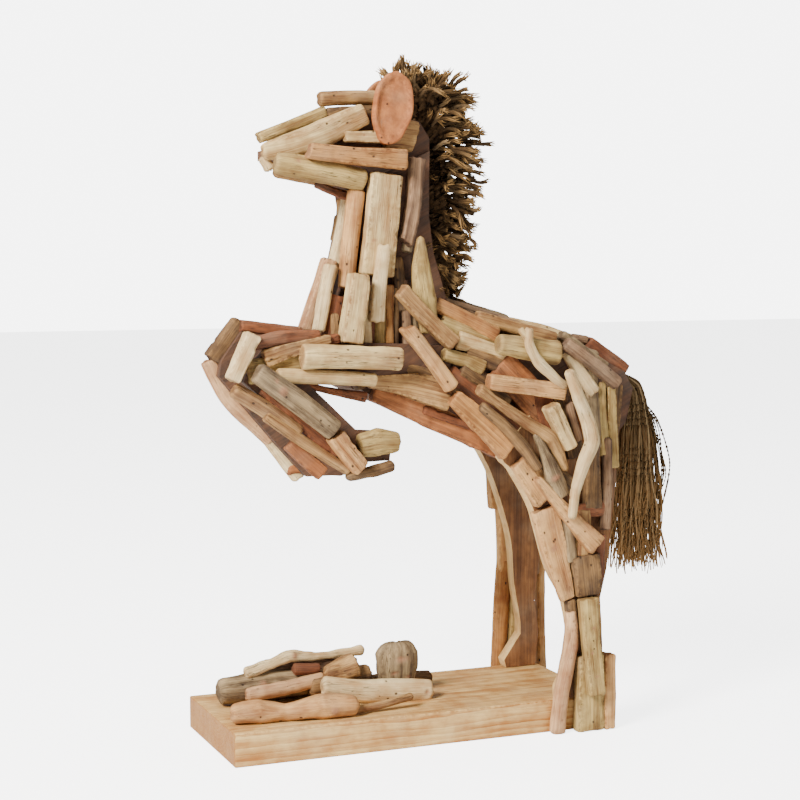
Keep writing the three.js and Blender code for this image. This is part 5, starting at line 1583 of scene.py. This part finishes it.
@dataclass
class Mane:
    """The crest of frayed twine tufts from the forelock to the withers."""

    crest: tuple = ((6, 466), (18, 458), (26, 430), (27, 395), (25, 365), (25, 335), (28, 310))
    rows: int = 44
    across: int = 5
    half_width: float = 11.0
    length: float = 36.0
    radius: float = 1.45
    fibres: int = 5

    def _root(self, share: float) -> np.ndarray:
        """Returns the (x, h) of the glue line at a share of the crest."""
        points = np.array(self.crest, dtype=float)
        knots = np.linspace(0, 1, len(points))
        return np.array([np.interp(share, knots, points[:, k]) for k in range(2)])

    def build(self, finishes: Finishes) -> None:
        """Glues the tufts on, row by row.

        Args:
            finishes: where the material comes from.
        """
        twine = Twine(41)
        random = twine.random
        for row in range(self.rows):
            for place in range(self.across):
                share = (row + random.uniform(-0.4, 0.4)) / (self.rows - 1)
                share = min(max(share, 0.0), 1.0)
                for layer in range(3):
                    self._tuft(twine, share, (place + 0.5) / self.across * 2 - 1, layer, random)
        self._spine(twine)
        material = finishes.jute("mane_twine", (58, 40, 22), (198, 154, 96))
        twine.build("mane_twine_tufts", material, "mane", "mane_rope_tufts")

    def _spine(self, twine: Twine) -> None:
        """Lays the dark glued butts of the twine along the crest, which close the gaps between tufts."""
        share = np.linspace(0.01, 0.99, 48)
        middle = np.array([self._root(value) for value in share])
        for number in range(18):
            out = (number % 3) * 5.0 - 3.0
            side = (number // 3) * 4.4 - 11.0
            sway = ripple(np.stack([share * 300, share * 0 + number * 40, share * 0], axis=1), 22, number) * 1.2
            line = np.stack([middle[:, 0] + out * (1 - 0.4 * share**4) + sway, side + sway, middle[:, 1]], axis=1)
            twine.strand(line, np.full(len(share), 3.8), share * 0, 0.0, 0.2, 9.0)

    def _tuft(self, twine: Twine, share: float, side: float, layer: int, random: np.random.Generator) -> None:
        """Lays one tuft: a short twist of twine that frays into fibres."""
        x, h = self._root(share)
        x += (-2.0 + random.uniform(-4, 4) + layer * 12.5) * (1 - 0.4 * share**4)
        x += random.uniform(-2, 2)
        root = np.array([x, side * self.half_width * random.uniform(0.8, 1.1), h + random.uniform(-3, 3)])
        lift = 0.9 - 1.5 * share + random.normal() * 0.35
        way = np.array([1.0 + 0.4 * random.normal(), side * 0.6 + random.normal() * 0.6, lift * 0.7])
        if layer == 0:
            way[0] = 0.4 + 0.5 * random.normal()
        if share < 0.09:
            way = np.array([0.2 + 0.5 * random.normal(), side * 0.5 + 0.3 * random.normal(), 1.0])
        way /= np.linalg.norm(way)
        full = self.length * random.uniform(0.5, 0.95) * (1.05 - 0.6 * share**2) * (1.0 - 0.12 * layer)
        droop = random.uniform(0.1, 0.5) * full * 0.5
        t = np.linspace(0, 1, twine.RINGS)
        stem = root + way * (t * full)[:, None]
        stem[:, 2] -= droop * t**2
        stem += (random.normal(size=3) * 2.4) * np.sin(t * math.pi)[:, None]
        tint = float(np.clip(random.normal(0.0, 0.22), 0, 1))
        aside = np.cross(way, random.normal(size=3))
        aside /= np.linalg.norm(aside)
        other = np.cross(way, aside)
        for fibre in range(self.fibres):
            turn = 2 * math.pi * fibre / self.fibres
            spin = turn + t * 5.0
            spread = self.radius * (0.55 + 1.6 * np.clip(t - 0.45, 0, 1) ** 1.3 * random.uniform(0.5, 1.6))
            line = stem + aside * (np.cos(spin) * spread)[:, None] + other * (np.sin(spin) * spread)[:, None]
            radius = self.radius * 0.55 * (1 - 0.6 * np.clip(t - 0.4, 0, 1)) * random.uniform(0.8, 1.1)
            radius = np.maximum(radius, 0.16)
            radius[-1] = 0.1
            tip = np.clip((t - 0.62) * 2.8, 0, 1) * random.uniform(0.15, 1.0)
            twine.strand(line, radius, np.clip(tip, 0, 1), tint)


@dataclass
class Tail:
    """The hank of twine that hangs from the back of the rump."""

    root: tuple = (192.0, 0.0, 246.0)
    strands: int = 270
    loose: int = 7
    radius: float = 0.85

    def _line(self, random: np.random.Generator, turn: float, spread: float) -> np.ndarray:
        """Draws one strand's middle line from the root down."""
        out, side = math.cos(turn) * spread, math.sin(turn) * spread
        drop = random.uniform(-9, 24) * random.uniform(0.2, 1.0)
        points = np.array([
            (self.root[0] + 2 * out, self.root[1] + 5 * side, self.root[2] + 2 * out),
            (206 + 6 * out, 8 * side, 236 + 4 * out),
            (211 + 15 * out, 13 * side, 196),
            (212 + 20 * out + random.normal() * 1.5, 15 * side, 150),
            (214 + 24 * out + random.normal() * 3.5, 16 * side + random.normal() * 2.0, 90 + drop),
        ])
        share = np.linspace(0, 1, 34)
        knots = np.array([0, 0.12, 0.36, 0.64, 1.0])
        line = smooth_through(knots, points, share)
        wobble = random.normal(size=(2, 3)) * [2.4, 2.2, 0.5]
        line += wobble[0] * np.sin(share * 9 + random.uniform(0, 6))[:, None] * share[:, None]
        line += wobble[1] * 0.5 * np.sin(share * 21 + random.uniform(0, 6))[:, None] * share[:, None]
        return line

    def build(self, finishes: Finishes) -> None:
        """Hangs the strands and the few that have come loose.

        Args:
            finishes: where the material comes from.
        """
        twine = Twine(77)
        random = twine.random
        for _ in range(self.strands):
            spread = math.sqrt(random.uniform(0.02, 1.0))
            line = self._line(random, random.uniform(0, 2 * math.pi), spread)
            share = np.linspace(0, 1, len(line))
            radius = self.radius * random.uniform(0.6, 1.3) * (1 - 0.5 * share**3)
            tint = float(np.clip(random.normal(0.2, 0.3), 0, 1))
            twine.strand(line, radius, np.clip(share**1.4 * 1.1, 0, 1), tint, 0.08, 15.0)
        for number in range(self.loose):
            self._loose(twine, random, number)
        material = finishes.jute("tail_twine", (76, 58, 34), (164, 122, 74))
        twine.build("tail_twine_strands", material, "tail", "tail_rope_strands")

    def _loose(self, twine: Twine, random: np.random.Generator, number: int) -> None:
        """Hangs one strand that has sprung away from the hank."""
        reach = random.uniform(4, 14) + 1.6 * number
        side = random.uniform(-12, 12)
        foot = random.uniform(118, 150)
        points = np.array([
            (204, side * 0.5, 236), (214 + reach * 0.6, side, 208), (219 + reach * 0.9, side * 1.1, 172),
            (216 + reach * random.uniform(0.6, 1.0), side, foot),
        ])
        share = np.linspace(0, 1, 34)
        line = smooth_through(np.array([0, 0.33, 0.67, 1.0]), points, share)
        line[:, 0] += random.uniform(1, 2.4) * np.sin(share * random.uniform(8, 14) + number) * share
        line[:, 1] += random.uniform(1, 2.0) * np.sin(share * random.uniform(8, 14)) * share
        radius = np.full(len(share), self.radius * random.uniform(0.8, 1.2))
        twine.strand(line, radius, share * 0.3, 0.0, 0.2, 6.0)


@dataclass
class Studio:
    """The pale floor, the soft light from the left, and the camera at the photograph's place."""

    camera_place: tuple = (-510.16, -1245.50, 369.13)
    azimuth: float = -22.384
    pitch: float = 4.802
    lens: float = 79.0

    def build(self) -> None:
        """Sets up the floor, the lights, the world and the camera."""
        self._floor()
        self._light("key_light", (-1.9, -1.1, 1.7), 0.8, 190.0, (1.0, 0.97, 0.92))
        self._light("fill_light", (1.3, -1.9, 0.7), 1.4, 10.0, (0.97, 0.98, 1.0))
        self._light("top_light", (0.1, 0.2, 2.2), 1.3, 26.0, (1.0, 1.0, 1.0))
        self._room()
        self._camera()

    @staticmethod
    def _room() -> None:
        """Lights the scene softly from all round and shows a nearly white room behind it."""
        world = bpy.data.worlds.new("pale_room")
        world.use_nodes = True
        g = NodeGraph(world.node_tree)
        soft = world.node_tree.nodes["Background"]
        soft.inputs["Color"].default_value = (0.95, 0.96, 0.97, 1.0)
        soft.inputs["Strength"].default_value = 0.34
        seen = g.add("ShaderNodeBackground", {"Color": (0.97, 0.97, 0.97, 1.0), "Strength": 6.5})
        ray = g.get(g.add("ShaderNodeLightPath"), "Is Camera Ray")
        chosen = g.add("ShaderNodeMixShader", {0: ray, 1: g.get(soft), 2: g.get(seen)})
        g.feed(world.node_tree.nodes["World Output"], {"Surface": g.get(chosen)})
        bpy.context.scene.world = world

    @staticmethod
    def _floor() -> None:
        """Lays a wide pale floor under the plank, which the camera sees nearly as white as the room."""
        deselect_all()
        bpy.ops.mesh.primitive_plane_add(size=14.0)
        floor = bpy.context.object
        floor.name = "studio_floor"
        material = bpy.data.materials.new("pale_floor")
        material.use_nodes = True
        g = NodeGraph(material.node_tree)
        shader = material.node_tree.nodes["Principled BSDF"]
        shader.inputs["Base Color"].default_value = (0.88, 0.88, 0.88, 1.0)
        shader.inputs["Roughness"].default_value = 0.8
        shader.inputs["Emission Color"].default_value = (1.0, 1.0, 1.0, 1.0)
        seen = g.get(g.add("ShaderNodeLightPath"), "Is Camera Ray")
        g.feed(shader, {"Emission Strength": seen * 4.0})
        floor.data.materials.append(material)

    @staticmethod
    def _light(name: str, place: tuple, size: float, power: float, colour: tuple) -> None:
        """Hangs one soft square light that looks at the horse."""
        data = bpy.data.lights.new(name, "AREA")
        data.shape = "DISK"
        data.size = size
        data.energy = power
        data.color = colour
        lamp = bpy.data.objects.new(name, data)
        bpy.context.scene.collection.objects.link(lamp)
        lamp.location = place
        lamp.rotation_euler = (Vector((0.03, 0.0, 0.25)) - Vector(place)).to_track_quat("-Z", "Y").to_euler()

    def _camera(self) -> None:
        """Stands the camera where the photograph was taken from."""
        data = bpy.data.cameras.new("photo_camera")
        data.lens = self.lens
        data.sensor_width = 36.0
        data.clip_start, data.clip_end = 0.05, 50.0
        camera = bpy.data.objects.new("photo_camera", data)
        bpy.context.scene.collection.objects.link(camera)
        camera.location = Vector(self.camera_place) * MM
        camera.rotation_euler = (math.radians(90 - self.pitch), 0.0, math.radians(self.azimuth))
        bpy.context.scene.camera = camera


def main() -> None:
    """Loads the frame and builds every assembly in order."""
    logging.basicConfig(level=logging.INFO, format="%(name)s: %(message)s")
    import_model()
    Studio().build()
    finishes = Finishes()
    blanks = Blanks()
    Plinth().build(finishes)
    Boards().build(finishes)
    assemblies = (Head, Neck, LeftForeleg, LeftBarrel, LeftHaunch, LeftHindLeg, Back, RightSide, Heap)
    for assembly in assemblies:
        assembly().build(blanks, finishes)
    blanks.clear()
    Ear("left_ear_oval", "left_ear_slice", Side.LEFT).build(finishes)
    Ear("right_ear_oval", "right_ear_slice", Side.RIGHT).build(finishes)
    Mane().build(finishes)
    Tail().build(finishes)


if __name__ == "__main__":
    main()
